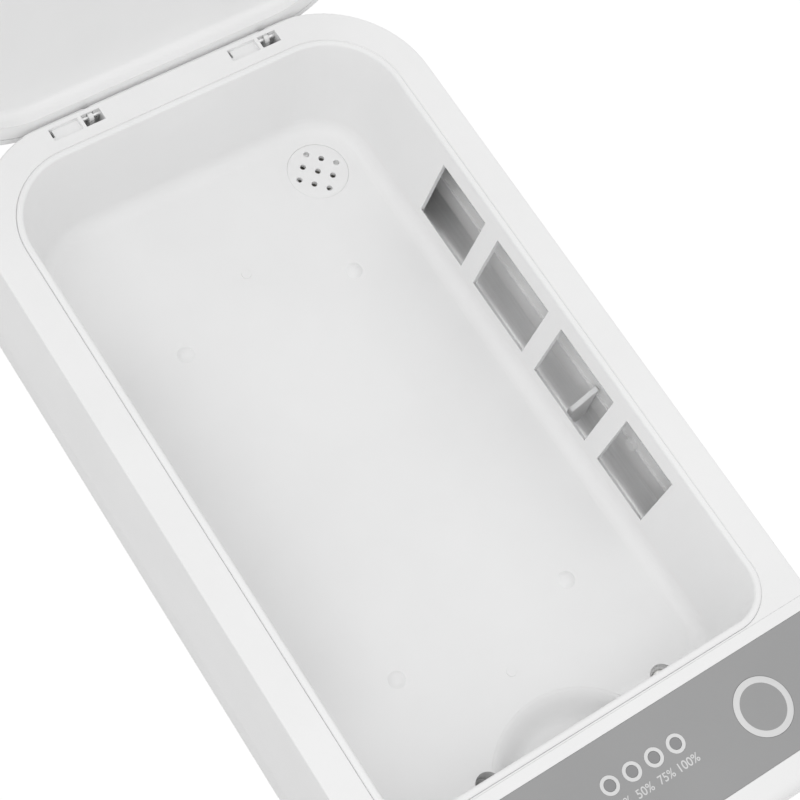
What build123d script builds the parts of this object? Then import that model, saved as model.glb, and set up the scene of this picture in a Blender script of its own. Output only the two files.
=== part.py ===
from build123d import *
import math
import os

# UV sanitizer box for phones: a tray with two lamp bays under a hinged lid.
# X is the width, +Y points to the hinge, +Z is up.
# The origin is the middle of the footprint, on the flat underside that the box stands on.

os.makedirs("parts", exist_ok=True)

# ---- outer body -------------------------------------------------------------
BODY_WIDTH = 116.5
BODY_LENGTH = 216.0
RIM_Z = 43.0
REAR_CORNER = 27.1
FRONT_CORNER = 9.0
WALL = 2.0
DECK = 2.0
EDGE_ROUND = 0.5
FRONT_ROUND = 3.2
BAND_TOP = 10.5
BAND_TAPER = 0.6
BASE_FLOOR = 2.8
FRONT_BLOCK = 34.2
SEAM_GAP = 0.02
RIM_SOFT = 0.3

# ---- tray -------------------------------------------------------------------
SIDE_RIM = 9.45
REAR_RIM = 9.7
FRONT_RIM = 2.1
TRAY_REAR_CORNER = 17.5
TRAY_FRONT_CORNER = 9.2
FLOOR_REAR_CORNER = 14.5
FLOOR_FRONT_CORNER = 7.2
TRAY_DEPTH = 28.9
TRAY_DRAFT = 4.3
TRAY_FRONT_DRAFT = 0.4
TRAY_WALL = 1.2
FLOOR_FILLET = 4.0
BEAD_WIDTH = 1.6
BEAD_PROUD = 0.5
BEAD_ROUND = 0.7
COLLAR_DEEP = 5.0
TRAY_GAP = 0.04
FLANGE_REACH = 2.6
FLANGE_THICK = 1.5
FLANGE_ROOM = 1.35
FLANGE_INSET = 16.0
POST_R = 2.5
POST_SIDE = 9.8
POST_SPREAD = 49.0
NUB_R = 2.1
NUB_H = 0.8
NUB_X = 23.8
NUB_SPREAD = 46.1
NUB_SHIFT = 6.55
MARK_R = 1.2
MARK_H = 0.15
MARK_SPREAD = 57.8
SCOOP_X = 0.6
SCOOP_SHIFT = 9.3
SCOOP_R = 22.3
SCOOP_BOTTOM_R = 15.0
SCOOP_DEPTH = 4.0
TRAY_SCREW_R = 3.0
TRAY_SCREW_WALL = 1.2
TRAY_SCREW_INSET = 1.8
TRAY_SCREW_LEFT = 19.2
TRAY_SCREW_RIGHT = 29.9
LEFT_WELL_DEPTH = 6.5
RIGHT_WELL_DEPTH = 1.9

# ---- lamp windows -----------------------------------------------------------
BAY_SHIFT = 3.3
WINDOW_TOP = 4.4
WINDOW_HEIGHT = 18.9
WINDOW_RIB = 5.25
WINDOW_LONG = 21.35
WINDOW_SHORT = 18.0
SILL_LAND = 0.2
SILL_SLOPE = 2.6

# ---- aroma well -------------------------------------------------------------
AROMA_SIDE = 17.9
AROMA_REAR = 17.4
AROMA_CAP_R = 7.75
AROMA_CAP_GAP = 0.05
AROMA_LEDGE = 1.5
AROMA_EDGE = 0.25
AROMA_HOLE_R = 0.75
AROMA_PITCH = 3.87
SKIRT_WALL = 0.8
CUP_R = 6.2
CUP_H = 5.0
CUP_WALL = 0.6
CUP_FLOOR = 0.8
CUP_ROOM = 0.4
HEATER_H = 1.0
PAD_H = 3.2

# ---- lamp bays --------------------------------------------------------------
LAMP_SIDE = 3.95
LAMP_DROP = 8.8
LAMP_R = 1.9
LAMP_LENGTH = 112.0
CAP_R = 2.8
CAP_LENGTH = 7.0
CAP_OVERLAP = 3.0
CAP_WAIST = 0.45
BAY_PLATE = 0.95
BAY_END = 3.5
BAY_MARGIN = 4.0
CLIP_OPENING = 0.7
CLIP_FOOT = 1.4
BAY_LEDGE = 0.6
BAY_LEDGE_THICK = 0.5
BAY_LEDGE_DROP = 22.7
BAY_BOSS_SHIFT = 30.5
BAY_BOSS_R = 1.6
BAY_BOSS_PROUD = 1.3
BAY_GAP = 0.1
REFLECTOR_GAP = 0.2
REFLECTOR_DEPTH = 8.6
REFLECTOR_SHEET = 0.5
REFLECTOR_BOTTOM = 6.9
REFLECTOR_OUTER_TOP = 13.4
REFLECTOR_INNER_TOP = 17.2
CRADLE_SPREAD = 48.0
CRADLE_WIDTH = 5.0
CRADLE_THICK = 2.0
SADDLE_SHIFT = 15.1
SADDLE_THICK = 1.4
SADDLE_INSET = 1.9
SADDLE_LEFT_TOP = 17.0
SADDLE_TOP = 23.4
SADDLE_FIT = 0.05

# ---- control panel ----------------------------------------------------------
PANEL_SIDE = 3.0
PANEL_REAR_EDGE = 2.85
PANEL_FRONT_EDGE = 6.6
PANEL_CORNER = 2.0
PANEL_THICK = 0.4
PANEL_FIT = 0.05
KEY_SIDE = 25.35
KEY_FROM_FRONT = 18.35
KEY_R = 6.8
KEY_GAP = 0.05
KEY_FLANGE = 1.1
KEY_FLANGE_THICK = 0.9
KEY_REST = 0.1
KEY_STEM_R = 1.6
KEY_STEM = 0.6
KEY_TRAVEL = 0.4
LED_FIRST = -6.25
LED_PITCH = 5.85
LED_FROM_FRONT = 21.75
LED_RING_R = 2.2
LED_PIPE_R = 1.35
LED_PIPE_GAP = 0.1
LED_PIPE_FLANGE = 0.6
RING_FIT = 0.02

# ---- lid and hinge ----------------------------------------------------------
LID_GAP = 0.4
LID_HEIGHT = 6.2
LID_FRONT_REACH = 2.5
LID_FRONT_CORNER = 3.0
LID_INNER_CORNER = 0.8
LID_SKIN = 1.2
LID_WALL = 1.6
LID_EDGE = 1.5
LID_LAND = 5.3
LID_FRONT_LAND = 2.6
LID_RECESS = 3.8
LID_RECESS_ROUND = 2.0
LINER_SHEET = 1.0
LINER_GAP = 0.1
LINER_SOLID_FRONT = 8.0
OPEN_ANGLE = 102.0
HINGE_IN = 1.9
HINGE_DOWN = 2.0
RELIEF = 0.8
RELIEF_DROP = 0.75
PIN_R = 0.7
PIN_FIT = 0.05
PIN_SEAT = 0.02
KNUCKLE_R = 1.4
ARM_WIDTH = 1.2
ARM_THICK = 1.3
ARM_ROOF = 0.4
ARM_GAP = 0.3
ARM_HOOK = 1.5
ARM_TOP = 1.6
ARM_SLOT_DROP = 4.6
POCKET_LEFT_IN = 0.05
POCKET_RIGHT_IN = 14.35
POCKET_W = 7.5
POCKET_BRIDGE = 0.9
POCKET_FROM_REAR = 1.85
POCKET_DEPTH_Y = 3.25
POCKET_DEEP = 1.0
POCKET_SLIT = 0.9
POCKET_SLIT_INSET = 1.4
HATCH_W = 4.9
EAR_THICK = 1.6
EAR_FRONT = 2.2
EAR_DROP = 3.8
CROSS_THICK = 1.2
MAGNET_LENGTH = 7.0
MAGNET_WIDTH = 1.3
MAGNET_HEIGHT = 2.6
SENSOR_LENGTH = 5.5
SENSOR_WIDTH = 2.6
SENSOR_HEIGHT = 4.0
SENSOR_GAP = 0.75
PAD_R = 1.1
PAD_SIDE = 3.3
PAD_FRONT = 12.0
PAD_REAR = 48.0

# ---- fasteners --------------------------------------------------------------
PILLAR_R = 2.4
PILLAR_WALL = 1.3
PILLAR_SOCKET = 2.4
PILLAR_SLIP = 0.15
PILLAR_BORE = 9.0
PILLAR_EDGE = 0.3
PILLAR_ROOM = 0.8
PILLAR_FRONT_SIDE = 8.2
PILLAR_FRONT_EDGE = 9.5
SCREW_R = 1.0
SCREW_SLIP = 0.2
SCREW_HEAD_R = 2.2
SCREW_HEAD_H = 1.2
SCREW_HEAD_SLIP = 0.3
SCREW_SUNK = 0.3
BASE_SCREW_LENGTH = 7.0
TRAY_SCREW_LENGTH = 4.0
BOARD_SCREW_LENGTH = 3.6
CONTROL_SCREW_LENGTH = 4.4
CROSS_REACH = 1.3
CROSS_WIDTH = 0.4
CROSS_DEEP = 0.5

# ---- boards -----------------------------------------------------------------
BOARD = 1.6
BOARD_Z = 5.0
BOARD_WIDTH = 68.0
BOARD_LENGTH = 70.0
BOARD_SHIFT = 5.0
BOARD_HOLE_INSET = 4.0
BOARD_POST_R = 2.5
CORE_WIDTH = 16.0
CORE_LENGTH = 14.0
CORE_HEIGHT = 4.6
BOBBIN_WIDTH = 8.0
BOBBIN_LENGTH = 18.0
BOBBIN_HEIGHT = 3.8
CAN_R = 3.0
CAN_HEIGHT = 4.8
CAN_PITCH = 8.0
CHIP_HEIGHT = 1.1
CHIP_LARGE = 9.0
CHIP_MIDDLE = 6.0
CHIP_SMALL = 5.0
PLUG_LENGTH = 8.0
PLUG_WIDTH = 5.0
PLUG_HEIGHT = 4.4
POWER_BOARD_Z = 3.6
POWER_BOARD_WIDTH = 24.0
POWER_BOARD_LENGTH = 19.1
POWER_BOARD_EDGE = 0.9
POWER_POST_R = 2.0
POWER_POST_SIDE = 3.0
POWER_POST_END = 4.0
SOCKET_W = 7.8
SOCKET_H = 2.8
SOCKET_LENGTH = 7.4
SOCKET_SUNK = 0.8
SOCKET_SHEET = 0.4
SOCKET_BACK = 1.5
SOCKET_SLIP = 0.3
TONGUE_WIDTH = 4.8
TONGUE_THICK = 0.6
TONGUE_SHORT = 1.2
CONTROL_DROP = 5.8
CONTROL_BEYOND_KEY = 12.6
CONTROL_FRONT_EDGE = 5.5
CONTROL_REAR_EDGE = 3.7
CONTROL_HOLE_SIDE = 3.0
CONTROL_HOLE_FRONT = 3.5
CONTROL_HOLE_REAR = 3.0
CONTROL_POST_R = 2.2
SWITCH_HALF = 2.6
SWITCH_HEIGHT = 1.5
SWITCH_STEM_R = 1.5
STATUS_LED_WIDTH = 1.6
STATUS_LED_LENGTH = 2.0
STATUS_LED_HEIGHT = 0.8
RIBBON_WIDTH = 10.0
RIBBON_THICK = 0.5
RIBBON_OFF_FLOOR = 0.8
RIBBON_STEP = 3.0
RIBBON_HEAD = 4.0
RIBBON_HEAD_HEIGHT = 2.4

# ---- sizes worked out from the values above ---------------------------------
HALF = BODY_WIDTH / 2
REAR = BODY_LENGTH / 2
FRONT = -REAR
SEAM_Y = FRONT + FRONT_BLOCK
DECK_UNDER = RIM_Z - DECK
FLOOR_Z = RIM_Z - TRAY_DEPTH
FLOOR_UNDER = FLOOR_Z - TRAY_WALL
LAMP_Z = RIM_Z - LAMP_DROP

TRAY_HALF = HALF - SIDE_RIM
TRAY_REAR = REAR - REAR_RIM
TRAY_FRONT = SEAM_Y + FRONT_RIM
TRAY_MIDDLE = (TRAY_FRONT + TRAY_REAR) / 2
TRAY_LEAN = TRAY_DRAFT / TRAY_DEPTH
COLLAR = BEAD_WIDTH + TRAY_GAP
NUB_YS = [TRAY_MIDDLE - NUB_SHIFT + NUB_SPREAD, TRAY_MIDDLE - NUB_SHIFT - NUB_SPREAD]
MARK_YS = [TRAY_MIDDLE - NUB_SHIFT + MARK_SPREAD, TRAY_MIDDLE - NUB_SHIFT - MARK_SPREAD]
SCOOP_Y = TRAY_FRONT - SCOOP_SHIFT
TRAY_SCREW_Y = TRAY_FRONT + TRAY_SCREW_INSET
TRAY_SCREWS = [
    (-TRAY_SCREW_LEFT, TRAY_SCREW_Y, LEFT_WELL_DEPTH),
    (TRAY_SCREW_RIGHT, TRAY_SCREW_Y, RIGHT_WELL_DEPTH),
]
AROMA_X = TRAY_HALF - AROMA_SIDE
AROMA_Y = TRAY_REAR - AROMA_REAR
WELL_BOTTOM = FLOOR_UNDER - AROMA_LEDGE
HEATER_Z = WELL_BOTTOM - CUP_ROOM - CUP_H - HEATER_H

BAY_Y = TRAY_MIDDLE - BAY_SHIFT
BAY_OUTER = HALF - WALL - BAY_GAP
BAY_INNER = BAY_OUTER - BAY_PLATE
LAMP_X = HALF - WALL - LAMP_SIDE
LAMP_FRONT = BAY_Y - LAMP_LENGTH / 2
LAMP_REAR = BAY_Y + LAMP_LENGTH / 2
RIB_END = WINDOW_RIB / 2
LONG_END = RIB_END + WINDOW_LONG
SHORT_START = LONG_END + WINDOW_RIB
SHORT_END = SHORT_START + WINDOW_SHORT
WINDOW_SPANS = [
    (BAY_Y - SHORT_END, BAY_Y - SHORT_START),
    (BAY_Y - LONG_END, BAY_Y - RIB_END),
    (BAY_Y + RIB_END, BAY_Y + LONG_END),
    (BAY_Y + SHORT_START, BAY_Y + SHORT_END),
]
TRAY_SKIN_X = TRAY_HALF - TRAY_DRAFT + TRAY_WALL + TRAY_LEAN * (REFLECTOR_INNER_TOP - FLOOR_UNDER)
REFLECTOR_LEFT = TRAY_SKIN_X + REFLECTOR_GAP
REFLECTOR_RIGHT = HALF - WALL - REFLECTOR_GAP
REFLECTOR_HALF = (REFLECTOR_RIGHT - REFLECTOR_LEFT) / 2
REFLECTOR_X = (REFLECTOR_RIGHT + REFLECTOR_LEFT) / 2
REFLECTOR_MID_Z = REFLECTOR_BOTTOM + REFLECTOR_DEPTH
CRADLE_YS = [BAY_Y - CRADLE_SPREAD, BAY_Y, BAY_Y + CRADLE_SPREAD]
SADDLE_Y = BAY_Y - SADDLE_SHIFT
BAY_BOSS_Y = BAY_Y - BAY_BOSS_SHIFT
TRAY_POSTS = [
    (x, BAY_Y + y)
    for x in (POST_SIDE - TRAY_HALF, TRAY_HALF - POST_SIDE)
    for y in (-POST_SPREAD, POST_SPREAD)
]

PANEL_HALF = HALF - PANEL_SIDE
PANEL_REAR = SEAM_Y - PANEL_REAR_EDGE
PANEL_FRONT = FRONT + PANEL_FRONT_EDGE
PANEL_Z = RIM_Z - PANEL_THICK
KEY_X = HALF - KEY_SIDE
KEY_Y = FRONT + KEY_FROM_FRONT
KEY_LOW = DECK_UNDER - KEY_REST - KEY_FLANGE_THICK
KEY_STEM_Z = KEY_LOW - KEY_STEM
LED_XS = [LED_FIRST + LED_PITCH * i for i in range(4)]
LED_Y = FRONT + LED_FROM_FRONT

HINGE_Y = REAR - HINGE_IN
HINGE_Z = RIM_Z - HINGE_DOWN
HINGE_AXIS = Axis((0, HINGE_Y, HINGE_Z), (1, 0, 0))
LID_Z = RIM_Z + LID_GAP
LID_TOP = LID_Z + LID_HEIGHT
LID_FRONT = SEAM_Y - LID_FRONT_REACH
POCKET_XS = [REAR_CORNER + POCKET_LEFT_IN - HALF, HALF - REAR_CORNER - POCKET_RIGHT_IN]
POCKET_REAR = REAR - POCKET_FROM_REAR
POCKET_FRONT = POCKET_REAR - POCKET_DEPTH_Y
MAGNET_Y = LAMP_FRONT - BAY_MARGIN - SENSOR_GAP - SENSOR_LENGTH / 2
MAGNET_X = HALF - LID_WALL - LINER_GAP - LINER_SHEET - MAGNET_WIDTH / 2

PILLAR_INSET = WALL + BAND_TAPER + PILLAR_R + PILLAR_EDGE
CORNER_OFFSET = (REAR_CORNER - PILLAR_INSET) * math.sqrt(0.5)
PILLARS_REAR = [
    (side * (HALF - REAR_CORNER + CORNER_OFFSET), REAR - REAR_CORNER + CORNER_OFFSET)
    for side in (-1, 1)
]
PILLAR_SIDE_Y = MAGNET_Y - SENSOR_LENGTH / 2 - PILLAR_ROOM - PILLAR_R
PILLARS_SIDE = [(side * (HALF - PILLAR_INSET), PILLAR_SIDE_Y) for side in (-1, 1)]
PILLARS_FRONT = [
    (side * (HALF - PILLAR_FRONT_SIDE), FRONT + PILLAR_FRONT_EDGE) for side in (-1, 1)
]
BASE_SCREWS = PILLARS_REAR + PILLARS_SIDE + PILLARS_FRONT

BOARD_HALF = BOARD_WIDTH / 2
BOARD_FRONT = BAY_Y + BOARD_SHIFT - BOARD_LENGTH / 2
BOARD_REAR = BAY_Y + BOARD_SHIFT + BOARD_LENGTH / 2
BOARD_MIDDLE = (BOARD_FRONT + BOARD_REAR) / 2
BOARD_TOP = BOARD_Z + BOARD
BOARD_SCREWS = [
    (x, y)
    for x in (BOARD_HOLE_INSET - BOARD_HALF, BOARD_HALF - BOARD_HOLE_INSET)
    for y in (BOARD_FRONT + BOARD_HOLE_INSET, BOARD_REAR - BOARD_HOLE_INSET)
]
POWER_BOARD_HALF = POWER_BOARD_WIDTH / 2
POWER_BOARD_REAR = REAR - WALL - POWER_BOARD_EDGE
POWER_BOARD_FRONT = POWER_BOARD_REAR - POWER_BOARD_LENGTH
SOCKET_Z = POWER_BOARD_Z + BOARD
CONTROL_Z = DECK_UNDER - CONTROL_DROP
CONTROL_TOP = CONTROL_Z + BOARD
CONTROL_HALF = KEY_X + CONTROL_BEYOND_KEY
CONTROL_FRONT = FRONT + CONTROL_FRONT_EDGE
CONTROL_REAR = SEAM_Y - CONTROL_REAR_EDGE
CONTROL_SCREWS = [
    (x, y)
    for x in (CONTROL_HOLE_SIDE - CONTROL_HALF, CONTROL_HALF - CONTROL_HOLE_SIDE)
    for y in (CONTROL_FRONT + CONTROL_HOLE_FRONT, CONTROL_REAR - CONTROL_HOLE_REAR)
]


def outline(half, front, rear, r_front, r_rear, z=0.0):
    """Plate seen from above, with its own corner radius at each end."""
    plate = Pos(0, (front + rear) / 2) * Rectangle(2 * half, rear - front)
    plate = fillet(plate.vertices().group_by(Axis.Y)[-1], r_rear)
    plate = fillet(plate.vertices().group_by(Axis.Y)[0], r_front)
    return Pos(0, 0, z) * plate


def body_outline(inset, z=0.0):
    return outline(
        HALF - inset,
        FRONT + inset,
        REAR - inset,
        FRONT_CORNER - inset,
        REAR_CORNER - inset,
        z,
    )


def tray_outline(grow, z=0.0):
    return outline(
        TRAY_HALF + grow,
        TRAY_FRONT - grow,
        TRAY_REAR + grow,
        TRAY_FRONT_CORNER + grow,
        TRAY_REAR_CORNER + grow,
        z,
    )


def tray_floor_outline(grow, z):
    """Foot of the drafted tray walls."""
    return outline(
        TRAY_HALF - TRAY_DRAFT + grow,
        TRAY_FRONT + TRAY_FRONT_DRAFT - grow,
        TRAY_REAR - TRAY_DRAFT + grow,
        FLOOR_FRONT_CORNER + grow,
        FLOOR_REAR_CORNER + grow,
        z,
    )


def block(x0, x1, y0, y1, z0, z1):
    centre = Pos((x0 + x1) / 2, (y0 + y1) / 2, (z0 + z1) / 2)
    return centre * Box(x1 - x0, y1 - y0, z1 - z0)


def plate_at(x, y, width, length, z0, z1):
    return block(x - width / 2, x + width / 2, y - length / 2, y + length / 2, z0, z1)


def post(x, y, z0, z1, r):
    return Pos(x, y, (z0 + z1) / 2) * Cylinder(r, z1 - z0)


def along_x(x0, x1, y, z, r):
    return Pos((x0 + x1) / 2, y, z) * Rot(0, 90, 0) * Cylinder(r, x1 - x0)


def along_y(x, y0, y1, z, r):
    return Pos(x, (y0 + y1) / 2, z) * Rot(90, 0, 0) * Cylinder(r, y1 - y0)


def prism_x(points, x0, x1):
    """Solid with a section in the YZ plane, from x0 to x1."""
    section = Plane.YZ * make_face(Polyline([*points, points[0]]))
    return Pos(x0, 0, 0) * extrude(section, x1 - x0)


def prism_y(points, y0, y1):
    """Solid with a section in the XZ plane, from y0 to y1."""
    section = Plane.XZ * make_face(Polyline([*points, points[0]]))
    return Pos(0, y1, 0) * extrude(section, y1 - y0)


def save(name, *solids):
    shape = solids[0] if len(solids) == 1 else Compound(children=list(solids))
    export_step(shape, os.path.join("parts", name + ".step"))


def mirrored(shape):
    return mirror(shape, about=Plane.YZ)


def opened(shape):
    """Turn a lid piece from its closed place to the open stop."""
    return shape.rotate(HINGE_AXIS, -OPEN_ANGLE)


def hatch_span(start):
    return start + POCKET_W + POCKET_BRIDGE, start + POCKET_W + POCKET_BRIDGE + HATCH_W


def arm_span(start):
    low, high = hatch_span(start)
    return (low + high - ARM_WIDTH) / 2, (low + high + ARM_WIDTH) / 2


def pin_bore(start, r):
    """Round bar along the hinge line, as long as a pin."""
    low, high = hatch_span(start)
    return along_x(low - EAR_THICK, high + EAR_THICK, HINGE_Y, HINGE_Z, r)


# ---- base -------------------------------------------------------------------
def make_base_cover():
    low = outline(
        HALF - BAND_TAPER,
        FRONT + BAND_TAPER,
        REAR - BAND_TAPER,
        FRONT_CORNER - BAND_TAPER,
        REAR_CORNER - BAND_TAPER,
    )
    shell = loft([low, body_outline(0, BAND_TOP)], ruled=True)
    shell = fillet(shell.edges().group_by(Axis.Z)[0], EDGE_ROUND)
    inside = body_outline(WALL + BAND_TAPER, BASE_FLOOR)
    shell -= extrude(inside, BAND_TOP)
    socket_top = BASE_FLOOR + PILLAR_SOCKET
    for x, y in BASE_SCREWS:
        shell += post(x, y, BASE_FLOOR, socket_top, PILLAR_R + PILLAR_WALL)
        shell -= post(x, y, BASE_FLOOR, socket_top, PILLAR_R + PILLAR_SLIP)
        shell -= post(x, y, 0, BASE_FLOOR, SCREW_R + SCREW_SLIP)
        shell -= post(x, y, 0, SCREW_SUNK + SCREW_HEAD_H, SCREW_HEAD_R + SCREW_HEAD_SLIP)
    for x, y in TRAY_POSTS:
        shell += post(x, y, BASE_FLOOR, FLOOR_UNDER, POST_R)
    for x, y, deep in TRAY_SCREWS:
        top = FLOOR_Z - deep - TRAY_WALL
        shell += post(x, y, BASE_FLOOR, top, TRAY_SCREW_R)
        shell -= post(x, y, BASE_FLOOR, top, SCREW_R)
    for x, y in BOARD_SCREWS:
        shell += post(x, y, BASE_FLOOR, BOARD_Z, BOARD_POST_R)
        shell -= post(x, y, BASE_FLOOR, BOARD_Z, SCREW_R)
    for x in (POWER_POST_SIDE - POWER_BOARD_HALF, POWER_BOARD_HALF - POWER_POST_SIDE):
        for y in (POWER_BOARD_FRONT + POWER_POST_END, POWER_BOARD_REAR - POWER_POST_END):
            shell += post(x, y, BASE_FLOOR, POWER_BOARD_Z, POWER_POST_R)
    top = REFLECTOR_BOTTOM - REFLECTOR_SHEET
    for side in (-1, 1):
        for y in CRADLE_YS:
            x = side * REFLECTOR_X
            shell += plate_at(x, y, CRADLE_WIDTH, CRADLE_THICK, BASE_FLOOR, top)
    shell += post(AROMA_X, AROMA_Y, BASE_FLOOR, HEATER_Z, CUP_R)
    shell -= block(
        -SOCKET_W / 2 - SOCKET_SLIP,
        SOCKET_W / 2 + SOCKET_SLIP,
        REAR - 2 * WALL,
        REAR,
        SOCKET_Z - SOCKET_SLIP,
        SOCKET_Z + SOCKET_H + SOCKET_SLIP,
    )
    return shell


def screw_up(x, y, z_head, length):
    """Pan-head screw driven upwards, with its head at the bottom."""
    head = post(x, y, z_head, z_head + SCREW_HEAD_H, SCREW_HEAD_R)
    slot = plate_at(x, y, 2 * CROSS_REACH, CROSS_WIDTH, z_head, z_head + CROSS_DEEP)
    cross = plate_at(x, y, CROSS_WIDTH, 2 * CROSS_REACH, z_head, z_head + CROSS_DEEP)
    shank = post(x, y, z_head + SCREW_HEAD_H, z_head + SCREW_HEAD_H + length, SCREW_R)
    return head + shank - slot - cross


def screw_down(x, y, z_seat, length):
    """Pan-head screw driven downwards, with its head on z_seat."""
    head = post(x, y, z_seat, z_seat + SCREW_HEAD_H, SCREW_HEAD_R)
    top = z_seat + SCREW_HEAD_H
    slot = plate_at(x, y, 2 * CROSS_REACH, CROSS_WIDTH, top - CROSS_DEEP, top)
    cross = plate_at(x, y, CROSS_WIDTH, 2 * CROSS_REACH, top - CROSS_DEEP, top)
    return head + post(x, y, z_seat - length, z_seat, SCREW_R) - slot - cross


def make_base_screws():
    return [screw_up(x, y, SCREW_SUNK, BASE_SCREW_LENGTH) for x, y in BASE_SCREWS]


def pillar(x, y):
    """Screw pillar that hangs from the deck and stands in a base socket."""
    column = post(x, y, BASE_FLOOR, DECK_UNDER, PILLAR_R)
    return column - post(x, y, BASE_FLOOR, BASE_FLOOR + PILLAR_BORE, SCREW_R)


# ---- housing ----------------------------------------------------------------
def whole_shell():
    """Walls and deck of the upper body, before the seam divides it."""
    shell = extrude(body_outline(0, BAND_TOP), RIM_Z - BAND_TOP)
    shell = fillet(shell.edges().group_by(Axis.Z)[-1], EDGE_ROUND)
    shell -= extrude(body_outline(WALL, BAND_TOP), DECK_UNDER - BAND_TOP)
    return shell


def make_housing():
    shell = whole_shell()
    shell -= extrude(tray_outline(COLLAR, BAND_TOP), RIM_Z)
    rim = shell.faces().sort_by(Axis.Z)[-1]
    shell = fillet(rim.inner_wires()[0].edges(), RIM_SOFT)
    shell -= block(-HALF, HALF, FRONT, SEAM_Y + SEAM_GAP / 2, 0, RIM_Z)
    relief = [
        (REAR - RELIEF, RIM_Z),
        (REAR, RIM_Z),
        (REAR, RIM_Z - RELIEF_DROP),
    ]
    shell -= prism_x(relief, -HALF, HALF)
    for start in POCKET_XS:
        end = start + POCKET_W
        slit = start + POCKET_SLIT
        low, high = hatch_span(start)
        arm_low, arm_high = arm_span(start)
        pocket_low = RIM_Z - POCKET_DEEP
        shell -= block(start, end, POCKET_FRONT, POCKET_REAR, pocket_low, RIM_Z)
        shell -= block(
            start, slit, POCKET_FRONT + POCKET_SLIT_INSET, POCKET_REAR, DECK_UNDER, RIM_Z
        )
        shell -= block(low, high, POCKET_FRONT, POCKET_REAR, DECK_UNDER, RIM_Z)
        shell -= block(
            arm_low - ARM_GAP,
            arm_high + ARM_GAP,
            REAR - WALL,
            REAR,
            HINGE_Z - ARM_SLOT_DROP,
            RIM_Z - ARM_ROOF,
        )
        shell -= pin_bore(start, PIN_R + PIN_SEAT)
    for x, y in PILLARS_REAR + PILLARS_SIDE:
        shell += pillar(x, y)
    return shell


def make_front_cover():
    shell = whole_shell()
    shell -= block(-HALF, HALF, SEAM_Y - SEAM_GAP / 2, REAR, 0, RIM_Z)
    y, z, r = FRONT + FRONT_ROUND, RIM_Z - FRONT_ROUND, FRONT_ROUND
    corner = block(-HALF, HALF, FRONT, y, z, RIM_Z)
    shell -= corner - along_x(-HALF, HALF, y, z, r)
    panel = outline(PANEL_HALF, PANEL_FRONT, PANEL_REAR, PANEL_CORNER, PANEL_CORNER, PANEL_Z)
    shell -= extrude(panel, PANEL_THICK)
    for side in (-1, 1):
        shell -= post(side * KEY_X, KEY_Y, DECK_UNDER, RIM_Z, KEY_R + KEY_GAP)
    for x in LED_XS:
        shell -= post(x, LED_Y, DECK_UNDER, RIM_Z, LED_PIPE_R + LED_PIPE_GAP)
    for x, y in PILLARS_FRONT:
        shell += pillar(x, y)
    for x, y in CONTROL_SCREWS:
        shell += post(x, y, CONTROL_TOP, DECK_UNDER, CONTROL_POST_R)
        shell -= post(x, y, CONTROL_TOP, DECK_UNDER - PANEL_THICK, SCREW_R)
    return shell


# ---- tray -------------------------------------------------------------------
def tray_screw_boss(x, y, deep):
    top = FLOOR_Z + FLOOR_FILLET * 0.7
    return post(x, y, FLOOR_Z - deep - TRAY_WALL, top, TRAY_SCREW_R + TRAY_SCREW_WALL)


def scoop_cup():
    """Outside of the finger scoop, under the floor."""
    height = SCOOP_DEPTH + TRAY_WALL
    middle = Pos(SCOOP_X, SCOOP_Y, FLOOR_Z - height / 2)
    return middle * Cone(SCOOP_BOTTOM_R + 2 * TRAY_WALL, SCOOP_R + TRAY_WALL, height)


def scoop_dish():
    """Dish of the finger scoop: flat in the middle, with a soft wavy flank."""
    steps = 8
    flank = []
    for step in range(steps + 1):
        share = step / steps * 0.95
        fall = SCOOP_DEPTH * (0.5 + 0.5 * math.cos(math.pi * share))
        flank.append((SCOOP_BOTTOM_R + (SCOOP_R - SCOOP_BOTTOM_R) * share, -fall))
    curve = Spline(*flank, tangents=((1, 0), (1, 0.18)))
    end = curve @ 1
    above = NUB_H
    edge = curve + Polyline(end, (end.X, above), (0, above), (0, -SCOOP_DEPTH), flank[0])
    section = Plane.XZ * make_face(edge)
    return Pos(SCOOP_X, SCOOP_Y, FLOOR_Z) * revolve(section, Axis.Z)


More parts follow.
